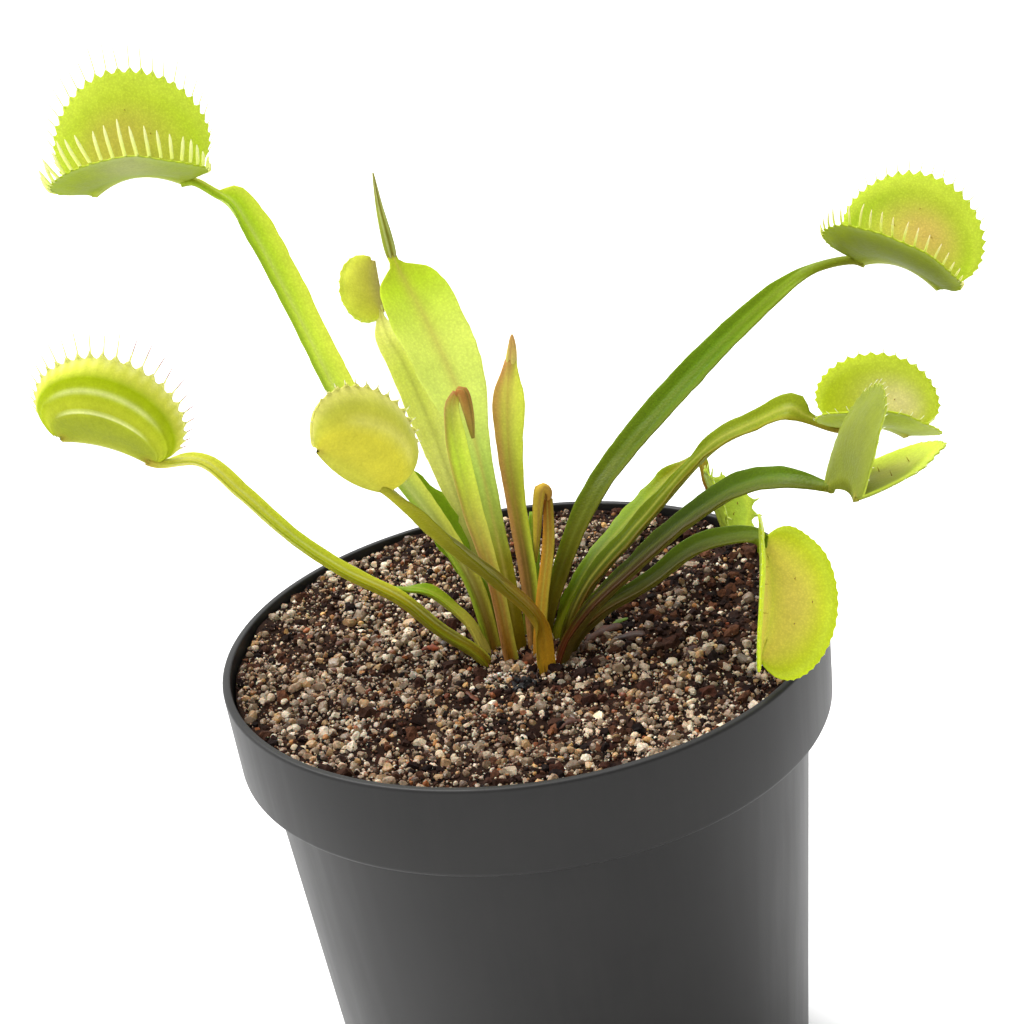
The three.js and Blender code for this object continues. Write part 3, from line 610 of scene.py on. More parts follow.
def grain_material(name, roughness, rough_spread, through, mottle, speck, shine=0.3):
    """Mineral grains and crumbs: the tint of each grain, mottled, with a broken surface."""
    nodes = Nodes(name)
    mottles = nodes.noise(scale=1800.0, detail=4.0, roughness=0.65)
    fine = nodes.noise(scale=7000.0, detail=2.0)
    shade = nodes.add(nodes.ramp(mottles, 1 - mottle, 1 + mottle),
                      nodes.ramp(fine, -speck, speck, 0.35, 0.65))
    nodes.set(Base_Color=nodes.scaled(nodes.attribute("tint", "Color"), shade),
              Roughness=nodes.ramp(mottles, roughness, roughness + rough_spread),
              Specular_IOR_Level=shine, Subsurface_Weight=through, Subsurface_Scale=0.0006)
    nodes.bump(mottles, strength=0.5, distance=0.00012)
    return nodes.owner


leaf_materials = [leaf_material(name, **skin) for name, skin in SKINS.items()]


# Leaves


def rooted(base):
    bearing, radius = base
    return [at_crown((bearing, radius * ROOTED_INWARD, -LEAF_BOTTOM)),
            at_crown((bearing, radius, -CLEARANCE))]


def blade_tint(row, f, s, lower):
    """The colour of a blade at f from root to tip, s from edge to edge, on its upper or lower face."""
    tint = stops(f, row["blade"])
    for hand, wing in ((-1, "left"), (1, "right")):
        if wing in row:
            colour, amount, start = row[wing]
            tint = blend(tint, colour, amount * smooth(start, start + 0.8, hand * s))
    colour, amount = row["rib_tint"]
    tint = blend(tint, colour, amount * bell(s, 0, 0.16) * smooth(0.0, 0.2, f))
    if lower:
        tint = blend(tint, *UNDER_TINT)
    seed = row["seed"]
    patch = noise(f * 9 + seed, s * 1.3 + seed)
    colour, amount = BASE_TINT
    tint = blend(tint, colour, amount * smooth(0.1, 0.8, patch) * (1 - smooth(0.1, 0.6, f)))
    fleck = smooth(0.6, 0.85, noise(f * 60 + 9 * s, s * 5 + 30)) * (1 - smooth(0.05, 0.3, f))
    colour, amount = FLECK_TINT
    return blend(tint, colour, amount * fleck)


def blade(shape, row, path, facing):
    """A winged stalk: a grooved rib with a thin wing to each side."""
    places, far = even_places(path, BLADE_PITCH)
    centre, tangent = curve(path, places)
    side = unit(np.cross(tangent, facing))
    up = np.cross(side, tangent)
    half = along(row["width"], np.minimum(places / row["neck"], 1)) / 2
    rib = along(row["rib"], places)
    f = np.clip((far - LEAF_BOTTOM) / (far[-1] - LEAF_BOTTOM), 0, 1)
    s = -np.cos(np.linspace(0, math.pi, BLADE_COLUMNS + 1))
    lift = np.radians(row["fold"]) * smooth(0.5, 1.4, half)
    f2, s2 = np.broadcast_arrays(f[:, None], s[None, :])
    hand = np.sign(s2)
    seed = row["seed"]
    wing = smooth(0.7, 1.6, half)[:, None]
    notch = 1 + wing * row["jag"] * noise(far[:, None] / row["jag_pitch"], seed + 7 * hand)
    wide = half[:, None] * notch * (1 + row["lop"] * hand * wing)
    soft = math.sqrt(VEE_SOFTNESS)
    vee = (np.sqrt(s2**2 + VEE_SOFTNESS) - soft) / (math.sqrt(1 + VEE_SOFTNESS) - soft)
    swing = noise(far[:, None] / RUFFLE_PITCH, seed + 3 * hand + 0.5)
    wave = row["ruffle"] * wing * np.abs(s2) ** 3 * swing
    x = s2 * wide * np.cos(lift)[:, None]
    mid = vee * half[:, None] * np.sin(lift)[:, None] + wave
    rib = rib[:, None]
    hump = bell(x, 0, RIB_SPREAD * rib)
    groove = GROOVE_DEPTH * GROOVE * rib * bell(x, 0, GROOVE_SPREAD * rib)
    closing = np.sqrt(np.clip(1 - np.abs(s2) ** BLADE_ROUND, 0, 1))
    thin = BLADE_EDGE / 2 * closing
    upper = mid + np.maximum(thin, (GROOVE + RIB_RISE) * rib * hump * closing - groove)
    lower = mid - np.maximum(thin, KEEL * rib * hump * closing)
    uneven = BLADE_UNEVEN * noise(far[:, None] / 1.7 + seed, x / 0.9) * closing * wing
    layers = []
    for height in (upper + uneven, lower + uneven):
        layers.append(centre[:, None] + x[..., None] * side[:, None] + height[..., None] * up[:, None])
    top, bottom = layers
    rings = np.concatenate([top, bottom[:, -2:0:-1]], axis=1)
    tints = np.concatenate([blade_tint(row, f2, s2, False),
                            blade_tint(row, f2, s2, True)[:, -2:0:-1]], axis=1)
    across = np.concatenate([x, x[:, -2:0:-1]], axis=1)
    run = np.broadcast_to(far[:, None], across.shape)
    shape.tube(rings, tints, STALK, across, run)


def sheet(shape, outer, inner, tints, across, run):
    """A thin body between two like grids, its rim closed. Outer and inner get zones of their own."""
    rows, wide = outer.shape[:2]
    back = rows * wide
    faces, zones = [], []
    for i in range(rows - 1):
        for j in range(wide - 1):
            a = i * wide + j
            b, c, d = a + 1, a + wide + 1, a + wide
            faces.append((a, d, c, b))
            zones.append(OUTSIDE)
            faces.append((a + back, b + back, c + back, d + back))
            zones.append(INSIDE)
    border = [*range(wide - 1), *range(wide - 1, (rows - 1) * wide, wide),
              *range(rows * wide - 1, (rows - 1) * wide, -1), *range((rows - 1) * wide, 0, -wide)]
    for k, a in enumerate(border):
        b = border[(k + 1) % len(border)]
        faces.append((a, b, b + back, a + back))
        zones.append(OUTSIDE)
    shape.add(np.concatenate([outer.reshape(-1, 3), inner.reshape(-1, 3)]), faces,
              np.concatenate([t.reshape(-1, 3) for t in tints]), zones,
              np.tile(across.ravel(), 2), np.tile(run.ravel(), 2))


class Trap:
    """The middle surface of two lobes.

    turn runs round their edge in radians, and side from -1 over the midrib to 1.
    """

    def __init__(self, row, start):
        self.row = row
        tip = at_crown(row["tip"])
        hinge = tip - start
        self.length = np.linalg.norm(hinge)
        self.ahead = hinge / self.length
        opening = np.array(row["opening"], float)
        self.open = unit(opening - self.ahead * opening.dot(self.ahead))
        self.left = np.cross(self.open, self.ahead)
        self.centre = (start + tip) / 2
        self.notch = math.radians(row["waist"])
        self.half_length = self.length / 2 / math.cos(self.notch)
        self.lean = math.radians(row["gape"] / 2)

    def lobe(self, hand):
        hand = np.asarray(hand)[..., None]
        out = self.open * math.cos(self.lean) + self.left * (hand * math.sin(self.lean))
        skin = self.left * (hand * math.cos(self.lean)) - self.open * math.sin(self.lean)
        return out, skin

    def place(self, turn, side):
        turn, side = np.broadcast_arrays(turn, side)
        row = self.row
        out, skin = self.lobe(np.where(side < 0, -1.0, 1.0))
        t = np.abs(side)
        span = (2 * turn - math.pi) / (math.pi + 2 * self.notch)
        across = -np.cos(turn)
        rise = (np.sin(turn) + math.sin(self.notch)) / (1 + math.sin(self.notch))
        arch = row["arch"]
        inner = (self.centre + self.ahead * (HINGE_END * self.length * span / 2)[..., None]
                 + self.open * (arch * (1 - span**2))[..., None])
        outer = (self.centre + self.ahead * (self.half_length * across)[..., None]
                 + self.open * (EDGE_ARCH * arch * (1 - across**2))[..., None]
                 + out * (row["depth"] * rise)[..., None])
        bulge = row["dome"] * np.sin(math.pi * np.minimum(t, 1) * LOBE_CROWN) * rise
        curl = row["curl"] * smooth(0.8, 1.05, t) ** 2 * rise
        return inner + (outer - inner) * t[..., None] + skin * (bulge + curl)[..., None]

    def normal(self, turn, side):
        lengthwise = self.place(turn + NEAR_TURN, side) - self.place(turn - NEAR_TURN, side)
        crosswise = self.place(turn, side + NEAR_SIDE) - self.place(turn, side - NEAR_SIDE)
        return unit(np.cross(crosswise, lengthwise))


def lobe_tints(row, turn, t):
    """The colours of the lobes' faces, with painted highlights on the outer."""
    f = turn / math.pi
    colour, amount = row["centre"]
    inner = blend(stops(t, row["inside"]), colour,
                  amount * bell(t, 0.42, 0.3) * bell(f, row["centre_at"], 0.32))
    colour, amount = MARGIN_TINT
    inner = blend(inner, colour, amount * bell(t, 0.9, 0.07))
    outer = stops(t, row["outside"])
    # A broad painted highlight: a paler band across the middle of the outer face.
    colour, amount, middle, wide = row["painted_sheen"]
    outer = blend(outer, colour, amount * bell(f, middle, wide) * bell(t, 0.75, 0.35))
    # A thin painted highlight along each ridge, as strong as the ridge's third number.
    for centre, width, strength in row["ridges"]:
        line = bell(t, centre, width) * (1 - smooth(0.2, 0.42, np.abs(f - 0.5)))
        outer = blend(outer, row["painted_ridge_highlight"], strength * line)
    ends = smooth(0.48, 0.7, np.abs(f - 0.5)) * (1 - smooth(0.05, 0.45, t))
    outer = blend(outer, row["neck_tint"], 0.5 * ends)
    outer = blend(outer, row["hinge_tint"], 0.5 * bell(t, 0, 0.12))
    return outer, inner


def trap(shape, row, start, seed):
    """Two domed lobes with a thick midrib, toothed edges and a cilium on each tooth."""
    form = Trap(row, start)
    count = row["cilia"]
    bare = form.notch * BARE_END
    first, last = -bare, math.pi + bare
    steps = row.get("lobe_steps", STEPS_A_TOOTH * count)
    beyond = form.notch * LOBE_REACH
    turns = np.linspace(-beyond, math.pi + beyond, steps + 1)
    ramp = np.sin(np.linspace(0, math.pi / 2, row["columns"] + 1))
    sides = np.concatenate([-ramp[:0:-1], ramp])
    turn, side = np.meshgrid(turns, sides, indexing="ij")
    t = np.abs(side)
    phase = (turn - first) / (last - first) * (count - 1)
    peak = np.clip(1 - 2 * np.abs(phase - np.round(phase)), 0, 1)
    toothed = (smooth(-TEETH_FADE, 0, phase)
               * (1 - smooth(count - 1, count - 1 + TEETH_FADE, phase)))
    scallop = peak**1.5 * toothed * row["scallop"]
    stretch = 1 + scallop / row["depth"] * smooth(TEETH_FROM, 1, t) ** 2
    middle = form.place(turn, side * stretch)
    normal = form.normal(turn, side)
    swing = noise(turn * 2.2, seed + 5 * np.sign(side)) * smooth(0.5, 1.0, t)
    middle = middle + normal * (row["wavy"] * swing)[..., None]
    half = LOBE_SKIN / 2 * np.sqrt(1 - MARGIN_THIN * t**12)
    half = half + (LOBE_RIB - LOBE_SKIN) / 2 * bell(t, 0, LOBE_RIB_SPREAD)
    ridge = sum(RIDGE_HEIGHT * bell(t, c, w) for c, w, _ in row["ridges"]) + np.zeros_like(t)
    outer = middle + normal * (half + ridge)[..., None]
    inner = middle - normal * half[..., None]
    tints = lobe_tints(row, turn, t)
    across = turn * form.length / math.pi
    sheet(shape, outer, inner, tints, across, side * row["depth"])
    fringes = row["fringe"] if isinstance(row["fringe"], tuple) else (row["fringe"], row["fringe"])
    for hand, fringe in zip((-1, 1), fringes):
        cilia(shape, FRINGE | fringe, form, hand, np.linspace(first, last, count), seed)
        trigger_hairs(shape, form, hand)


def spine(points, radii, flat=1.0, across=None):
    """Rings round a line of points, thinner across one way by flat."""
    tangent = unit(np.gradient(points, axis=0))
    helper = ACROSS_HAIRS if across is None else across
    side = unit(np.cross(tangent, helper))
    up = np.cross(side, tangent)
    angle = np.arange(CILIUM_SIDES) / CILIUM_SIDES * math.tau
    ring = (side[:, None] * np.cos(angle)[None, :, None] * flat
            + up[:, None] * np.sin(angle)[None, :, None])
    return points[:, None] + ring * np.asarray(radii)[:, None, None]


def ringed(tints):
    """Each colour along a spine, once for every point of its ring."""
    return np.repeat(tints[:, None], CILIUM_SIDES, axis=1)


def cilia(shape, fringe, form, hand, turns, seed):
    """The marginal teeth of one lobe: long, tapered and bent inwards, each grown from its tooth."""
    scallop = form.row["scallop"]
    root_tint, tip_tint = fringe["tints"]
    flush, flush_end = fringe["flush"]
    out, skin = (v.reshape(3) for v in form.lobe(float(hand)))
    middle = form.centre + out * form.row["depth"] * fringe["fan"]
    inward = math.radians(fringe["inward"])
    step = np.linspace(0, 1, CILIUM_STEPS)
    for k, turn in enumerate(turns):
        edge = form.place(np.array(turn), np.array(float(hand)))
        outward = unit(edge - middle)
        sway = form.ahead * CILIUM_SWAY * noise(k * 1.7, seed + hand)
        bend = inward * (1 + BEND_VARIES * noise(k * 0.9, seed + 2 * hand))
        away = unit(outward * math.cos(bend) - skin * math.sin(bend) + sway)
        size = fringe["long"] * (END_TEETH + (1 - END_TEETH) * math.sin(min(max(turn, 0), math.pi)))
        size *= 1 + LENGTH_VARIES * noise(k * 2.3, seed + 11 * hand)
        tooth = edge + outward * scallop * 0.5
        far = step * (CILIUM_ROOT + size) - CILIUM_ROOT
        beyond = np.clip(far, 0, None)
        points = tooth + outward * np.minimum(far, 0)[:, None] + away * beyond[:, None]
        points = points + outward * (CILIUM_BOW * beyond * (1 - beyond / size))[:, None]
        thick = fringe["stout"] * smooth(-CILIUM_ROOT, 0.1, far)
        radii = thick * (1 - CILIUM_TAPER * step ** fringe["taper"]) + CILIUM_TIP
        tint = stops(step, [(0, root_tint), (0.3, root_tint), (1, tip_tint)])
        if turn < flush_end:
            tint = blend(tint, flush, smooth(0.25, 0.5, step))
        edgewise = unit(np.cross(skin, outward))
        shape.tube(spine(points, radii, CILIUM_FLAT, edgewise), ringed(tint), CILIA)


def trigger_hairs(shape, form, hand):
    """The three hairs on the inside of a lobe that spring the trap."""
    step = np.linspace(0, 1, CILIUM_STEPS)
    for turn, t in TRIGGER_HAIRS:
        at, side = np.array(math.pi * turn), np.array(hand * t)
        root = form.place(at, side)
        away = -form.normal(at, side)
        points = root + away * (step * TRIGGER_LENGTH)[:, None]
        radii = TRIGGER_THICK * (1 - TRIGGER_TAPER * step)
        shape.tube(spine(points, radii), linear(TRIGGER_TINT), CILIA)


def bud(shape, row, facing):
    """A closed young trap: two lobes pressed together along a seam on each face."""
    path = [at_crown(p) for p in row["path"]]
    places, far = even_places(path, BUD_PITCH)
    centre, tangent = curve(path, places)
    side = carried(tangent, np.cross(tangent[0], facing))
    up = np.cross(side, tangent)
    belly = np.sin(math.pi * (0.1 + 0.88 * places ** row["low"])) ** 0.8
    if row["pointed"]:
        belly = (1 - places**1.5) ** 0.7
    swell = row["blunt"] + (1 - row["blunt"]) * belly
    angle = np.arange(BUD_SIDES) / BUD_SIDES * math.tau
    pinch = 1 - BUD_PINCH * bell(np.cos(angle), 0, 0.2)
    x = np.cos(angle) * row["wide"] / 2
    y = np.sin(angle) * row["thick"] / 2 * pinch * BUD_SWELL
    rings = (centre[:, None] + side[:, None] * (x[None] * swell[:, None])[..., None]
             + up[:, None] * (y[None] * swell[:, None])[..., None])
    f, across, run = np.broadcast_arrays(places[:, None], x[None], far[:, None])
    tint = stops(f, row["tints"])
    stripe = np.clip(np.cos(angle * row["stripes"]), 0, 1)
    tint = blend(tint, row["stripe_tint"], 0.5 * stripe)
    seam = bell(np.cos(angle), 0, 0.14)
    tint = blend(tint, row["seam_tint"], 0.5 * seam)
    shape.tube(rings, tint, OUTSIDE, across, run)


# One row a leaf, as in the solid model: base is bearing and radius on the crown; path is bearing,
# reach and height; width and rib run evenly along both. The rest are this script's own: blade,
# inside and outside are colours from root to tip or from hinge to margin, and left and right are
# the colour of that wing, how much of it, and how far out it starts.
LEAVES = {
    "leaf_back_left_open_trap": dict(
        base=(146, 5.6), front=0.25, lop=0.3,
        path=[(140.7, 7.8, 8.4), (137.2, 13.4, 16.2), (137.7, 19.5, 23.2), (138.7, 25.8, 31.5),
              (136.5, 31.9, 41.2), (136, 36.1, 48.9), (136.8, 39.2, 55.4), (138.4, 39.9, 58.4),
              (140, 40.8, 59.8), (141.7, 43.5, 61.8)],
        width=[2.5, 2.5, 2.8, 3.3, 4.2, 4.8, 4.8, 5.2, 5.2, 4.6, 1.5, 1.2, 1],
        rib=[1.4, 1.5, 1.4, 1.3, 1.2, 1.2, 1.1, 1.1],
        blade=[(0, "#987327"), (0.12, "#998b3b"), (0.3, "#b3c35e"), (0.6, "#e4fc4d"), (0.9, "#bce21f"),
               (1, "#b3af1e")],
        left=("#91b127", 0.75, 0.1), right=("#fbff5d", 0.55, 0.15), rib_tint=("#dbe382", 0.45),
        trap=dict(tip=(150.7, 55.5, 61.8), opening=(0.07, -0.42, 0.9), depth=13.6, gape=77, dome=0.9,
                  arch=2.4, waist=45, cilia=27, scallop=1.0,
                  fringe=(dict(long=5, stout=0.08, inward=8, fan=-0.6, tints=("#d3e27a", "#f3f4e4")),
                          dict(long=4.9, stout=0.24, inward=43, fan=-1.4, taper=6,
                               tints=("#dfe97c", "#f0f2b4"))),
                  inside=OPEN_INSIDE, centre=("#d6c55c", 0.75), centre_at=0.58,
                  outside=[(0, "#859812"), (0.5, "#859413"), (1, "#91a516")],
                  # A broad painted highlight across the middle of the lobes' outer faces.
                  painted_sheen=("#a9ab78", 0.65, 0.46, 0.15), neck_tint="#bccb50"),
    ),
    "leaf_left_closed_trap": dict(
        base=(187, 5.6),
        path=[(169, 11.1, 3.9), (167, 15.8, 8.4), (166, 23.3, 13), (165, 29.5, 18),
              (163, 35.6, 23.8), (162.5, 40.5, 28.3), (164.2, 45.8, 28.9)],
        width=[2.3, 2.3, 2.5, 2.8, 3, 3.2, 3.5, 3.3, 1.2, 1],
        rib=[1.4, 1.4, 1.4, 1.3, 1.2, 1.2, 1.1, 1.1, 1.1],
        blade=[(0, "#735d06"), (0.1, "#736a05"), (0.3, "#a3980b"), (0.55, "#b9c41d"), (0.8, "#d6d438"),
               (0.95, "#f0ed5b"), (1, "#c7943f")],
        left=("#7b8c13", 0.5, 0.3), right=("#ecf750", 0.5, 0.2), rib_tint=("#d3dc84", 0.5),
        trap=dict(tip=(164.2, 59.6, 33.5), opening=(-0.25, 0.1, 1), depth=11.8, gape=7, dome=3,
                  arch=0.9, waist=44, cilia=23, scallop=1.15, columns=52,
                  fringe=(dict(long=4.2, stout=0.1, inward=2, fan=-0.3, tints=("#f3f48a", "#d8c49c"),
                               flush=("#8f4060", 1.5)),
                          dict(long=1.1, stout=0.09, inward=2, fan=0, tints=("#f3f48a", "#f3f2c4"))),
                  wavy=0.1, curl=-1.4, inside=[(0, "#b9c83c"), (0.8, "#d3dc50"), (1, "#f6f784")],
                  # Two ridges, each with a thin painted highlight along it in the pale tint that
                  # follows.
                  ridges=[(0.5, 0.016, 1), (0.73, 0.026, 0.55)], painted_ridge_highlight="#f0f6a4",
                  outside=[(0, "#a1a431"), (0.1, "#919b24"), (0.4, "#99a429"), (0.6, "#bac42e"),
                           (0.86, "#a4b80e"), (0.93, "#e1e554"), (1, "#fbfc8c")],
                  neck_tint="#b98a3c"),
    ),
    "leaf_front_left_trap": dict(
        base=(-66, 5.2), front=0.9,
        path=[(-64, 4.6, 6), (-106.5, 7.9, 14.1), (-117, 15.9, 23.1), (-116.1, 22.4, 29.5),
              (-113.4, 31.4, 37.4)],
        width=[2.8, 2.7, 2.6, 3, 3.6, 3.4, 1.3, 1],
        rib=[1.5, 1.5, 1.4, 1.3, 1.2, 1.1, 1.1],
        blade=[(0, "#dba127"), (0.15, "#9e7215"), (0.35, "#716a09"), (0.55, "#757509"),
               (0.8, "#9a9d16"), (1, "#b4b12b")],
        left=("#6f6f18", 0.5, 0.2), rib_tint=("#a3a03a", 0.4),
        trap=dict(tip=(-118.2, 40.1, 46.5), opening=(0.3, 0.2, 0.85), depth=9, gape=9, dome=2.4,
                  arch=-0.8, waist=38, cilia=19, scallop=0.6, curl=-1.3,
                  fringe=dict(long=0.9, stout=0.08, inward=8, tints=("#e3e484", "#f1efce")),
                  inside=[(0, "#b9bc3c"), (0.8, "#cfd050"), (1, "#e3e270")],
                  # A ridge with a thin painted highlight along it.
                  ridges=[(0.66, 0.07, 0.9)], painted_ridge_highlight="#dcd866",
                  outside=[(0, "#c2bb3d"), (0.5, "#cfc83d"), (0.85, "#c8ca49"), (1, "#dfdb72")]),
    ),
    "leaf_broad_upright": dict(
        base=(120, 2.2), fold=12, ruffle=0.3, neck=0.955,
        path=[(107, 4.2, 6.1), (101, 10.9, 17.5), (101, 15.8, 25.9), (103, 19.6, 31.9),
              (106.5, 24.3, 39.3), (109.5, 27.5, 45.2), (110.4, 28.8, 47.8)],
        width=[2.6, 2.6, 2.7, 2.9, 4.3, 8.4, 10.4, 9.8, 1.4],
        rib=[1.4, 1.4, 1.3, 1.2, 1.2, 1.1, 1, 1, 1.1],
        blade=[(0, "#7f6b0e"), (0.2, "#8c8616"), (0.42, "#c6e062"), (0.6, "#eafc78"), (0.78, "#edfe6e"),
               (0.92, "#d3ef37"), (1, "#bec92d")],
        rib_tint=("#d2bd5c", 0.5),
        bud=dict(path=[(110.4, 28.7, 47.3), (110.3, 29.8, 50.6), (109.8, 31.6, 54),
                       (108.9, 33.6, 58.2)],
                 wide=1.6, thick=1.4, blunt=0.05, low=0.5, stripes=6,
                 tints=[(0, "#8a8030"), (0.12, "#8f9a34"), (0.5, "#9aa43c"), (1, "#908c48")],
                 stripe_tint="#d3d890"),
    ),
    "leaf_back_small_trap": dict(
        base=(103, 5.6),
        path=[(108.9, 10, 5.3), (110.2, 17.9, 15.6), (110.9, 23.8, 24.9), (113.5, 27.4, 33.5),
              (114.6, 29.7, 36.5), (113.5, 32.5, 38.7)],
        front=0.6, width=[2.3, 2.3, 2.4, 3.7, 5.4, 5.1, 4, 1.2, 1],
        rib=[1.3, 1.4, 1.3, 1.2, 1.1, 1, 1],
        # From the middle up this blade is paler than its own colour: painted light that makes up for
        # the shadow of the broad upright leaf.
        blade=[(0, "#787134"), (0.25, "#b1b255"), (0.5, "#fafc8f"), (0.8, "#f6ff7e"), (1, "#e2da7e")],
        right=("#e2f197", 0.4, 0.2), rib_tint=("#a8a848", 0.4),
        trap=dict(tip=(111.4, 36.3, 46.2), opening=(-0.99, 0.06, 0.13), depth=5, gape=22, dome=1,
                  waist=24, cilia=13, scallop=0.2, lobe_steps=44, fringe=dict(long=0.45, stout=0.07),
                  inside=OPEN_INSIDE, outside=[(0, "#c6ba66"), (0.25, "#d3cc56"), (0.7, "#dfe150"),
                                               (1, "#e4ed56")],
                  hinge_tint="#b5a760"),
    ),
    "leaf_young_hooked": dict(
        slot="leaf_young", base=(190, 2.3), fold=34,
        path=[(150, 3.2, 8.7), (133, 6.6, 19.1), (125, 9, 27.5), (117, 10.6, 32), (111, 10.7, 33.4)],
        width=[2.2, 2.2, 2.3, 3.4, 3.4, 2, 1.4],
        rib=[1.3, 1.3, 1.2, 1.1, 1.1, 1.1, 1.1],
        blade=[(0, "#966819"), (0.3, "#b5883c"), (0.5, "#d8ce56"), (0.75, "#e5ff4e"), (0.93, "#b9bb49"),
               (1, "#98602c")],
        left=("#ba825a", 0.7, 0.35), right=("#efff64", 0.4, 0.1), rib_tint=("#b9c458", 0.3),
        bud=dict(path=[(111.7, 10.8, 33.1), (109.2, 10, 33.7), (107.7, 9.4, 31.2), (107.7, 9.1, 27.4)],
                 wide=1.6, thick=1.4, tints=[(0, "#a46235"), (0.5, "#ad7e3e"), (1, "#b4a14a")],
                 stripe_tint="#b7a04c"),
    ),
    "leaf_young_spear": dict(
        slot="leaf_young", base=(52, 2.2), fold=16, lop=0.1,
        path=[(74.5, 6.3, 7), (83.6, 13.3, 15.9), (83.9, 16.6, 22.6), (82.3, 19.3, 28.3),
              (80, 21.3, 32.9)],
        width=[2.1, 2.1, 2.4, 2.8, 3.8, 4.6, 1.7],
        rib=[1.3, 1.3, 1.2, 1.1, 1.1, 1, 1],
        blade=[(0, "#5f4b07"), (0.3, "#5e4f07"), (0.5, "#a19632"), (0.75, "#dbe058"), (0.9, "#e2df5a"),
               (1, "#ba914e")],
        left=("#d99d5e", 0.8, 0.05), right=("#deee48", 0.6, 0.1), rib_tint=("#b98e48", 0.45),
        bud=dict(path=[(80.2, 21.3, 32.3), (79.1, 21.5, 34.4), (78.4, 21.6, 36.4)],
                 wide=1.7, thick=1.1, blunt=0.12, pointed=True,
                 tints=[(0, "#e1d769"), (0.4, "#dabe69"), (1, "#cd985f")],
                 seam_tint="#c39155", stripe_tint="#debf70"),
    ),
    "leaf_hooked_bud": dict(
        slot="leaf_young", base=(-20, 1.9), fold=40,
        path=[(37.7, 3.9, 5.5), (54.2, 8.6, 11.5), (60.7, 11.9, 16.6)],
        width=[1.9, 1.9, 1.9, 1.8, 1.3],
        rib=[1.3, 1.3, 1.2, 1.1, 1],
        blade=[(0, "#a77a1c"), (0.4, "#9f7a1c"), (0.7, "#9b7822"), (1, "#8e581c")],
        left=("#c9852a", 0.7, 0.3), right=("#aba133", 0.6, 0.2), rib_tint=("#a3a03c", 0.5),
        bud=dict(path=[(60.8, 11.8, 16.3), (60.4, 11.8, 17.8), (63.1, 11.2, 18.4), (65.3, 10.8, 16.9),
                       (68.2, 10.2, 12.8), (72.1, 9.6, 8.3)],
                 wide=1.6, thick=1.4, tints=[(0, "#c69041"), (0.5, "#d0b040"), (1, "#d9c744")],
                 stripe_tint="#ac8348"),
    ),
    "leaf_right_tall_open_trap": dict(
        base=(58, 5.6), front=0.5,
        path=[(49.5, 10.2, 7.6), (47.7, 16.3, 13.7), (44.6, 23.3, 18.5), (39.7, 31.7, 24.1),
              (34.9, 40, 30.1), (28.6, 46.6, 36.4), (25.5, 50.5, 39.1), (22.5, 54.8, 39.7)],
        width=[2.5, 2.5, 2.9, 3.8, 4.4, 5, 4.6, 3.4, 1.6, 1.2, 1],
        rib=[1.4, 1.4, 1.4, 1.3, 1.2, 1.2, 1.1, 1.1, 1.1],
        blade=[(0, "#614d03"), (0.12, "#575303"), (0.4, "#546902"), (0.65, "#5f8006"),
               (0.85, "#799213"), (1, "#7c811c")],
        right=("#6f6a1c", 0.4, 0.35), left=("#758c1c", 0.5, 0.35), rib_tint=("#7a842c", 0.35),
        trap=dict(tip=(12.1, 62.2, 36.2), opening=(-0.05, -0.26, 0.965), depth=12, gape=65, dome=1,
                  arch=2, waist=46, cilia=25, scallop=0.8,
                  fringe=(dict(long=3, stout=0.17, inward=38, fan=-1, taper=3,
                               tints=("#cfdb5c", "#ecdcae")),
                          dict(long=2.4, stout=0.07, inward=12, fan=-0.2,
                               tints=("#d3e27a", "#f3f4e4"))),
                  inside=[(0, "#bcc73e"), (0.35, "#c6d142"), (0.75, "#bcd532"), (1, "#c6da3c")],
                  centre=("#ecc579", 0.75), centre_at=0.6,
                  outside=[(0, "#788619"), (0.45, "#6e7a12"), (0.7, "#717d13"), (1, "#8f9f1d")],
                  neck_tint="#98a638"),
    ),
    "leaf_right_upper_trap": dict(
        slot="leaf_dark_green", base=(13, 5.6), front=0.5, ruffle=0.3,
        path=[(1, 9.4, 8.1), (-4.1, 15.1, 14.4), (-5.2, 20.1, 19.6), (-5.9, 24.5, 24.1),
              (-6.6, 28.1, 26.9), (-8.5, 32.6, 29), (-10.6, 37, 30.9), (-11.6, 38.8, 30),
              (-12.7, 42, 28.8)],
        width=[2.5, 2.5, 3, 3.5, 3, 2.3, 3.8, 3.7, 4.6, 1.6, 1.2, 1],
        rib=[1.4, 1.4, 1.4, 1.3, 1.2, 1.2, 1.1, 1.1],
        blade=[(0, "#3d2c04"), (0.15, "#2e3501"), (0.3, "#3a4c01"), (0.6, "#6a7908"), (0.85, "#879513"),
               (0.96, "#7d811c"), (1, "#654a12")],
        left=("#87981f", 0.25, 0.2), right=(RUST, 0.28, 0.2),
        trap=dict(tip=(-12, 51.2, 26.8), opening=(0.1, -0.3, 0.95), depth=8.6, gape=75, dome=0.8,
                  arch=1.2, waist=50, cilia=21, scallop=0.5, fringe=dict(long=1, stout=0.08),
                  inside=[(0, "#bcc331"), (0.4, "#c6cf2f"), (1, "#c3d526")],
                  outside=[(0, "#8f9c34"), (1, "#a9b840")], centre=("#f6eaab", 0.85), centre_at=0.72),
    ),
    "leaf_right_front_trap": dict(
        slot="leaf_dark_green", base=(-38, 5.6), front=0.5, ruffle=0.2,
        path=[(-33, 9.4, 6.2), (-27.9, 17.1, 13.8), (-26.1, 24.6, 20.1), (-26.7, 31.2, 24.5),
              (-29.6, 37.2, 26.9), (-30.5, 43.1, 26.9)],
        width=[2.8, 2.8, 3, 3.8, 4.6, 5, 3.8, 1.3, 1],
        rib=[1.5, 1.5, 1.4, 1.3, 1.2, 1.1, 1.1],
        # Near the crown this blade is partly the stalk's own dark brown and partly painted shade.
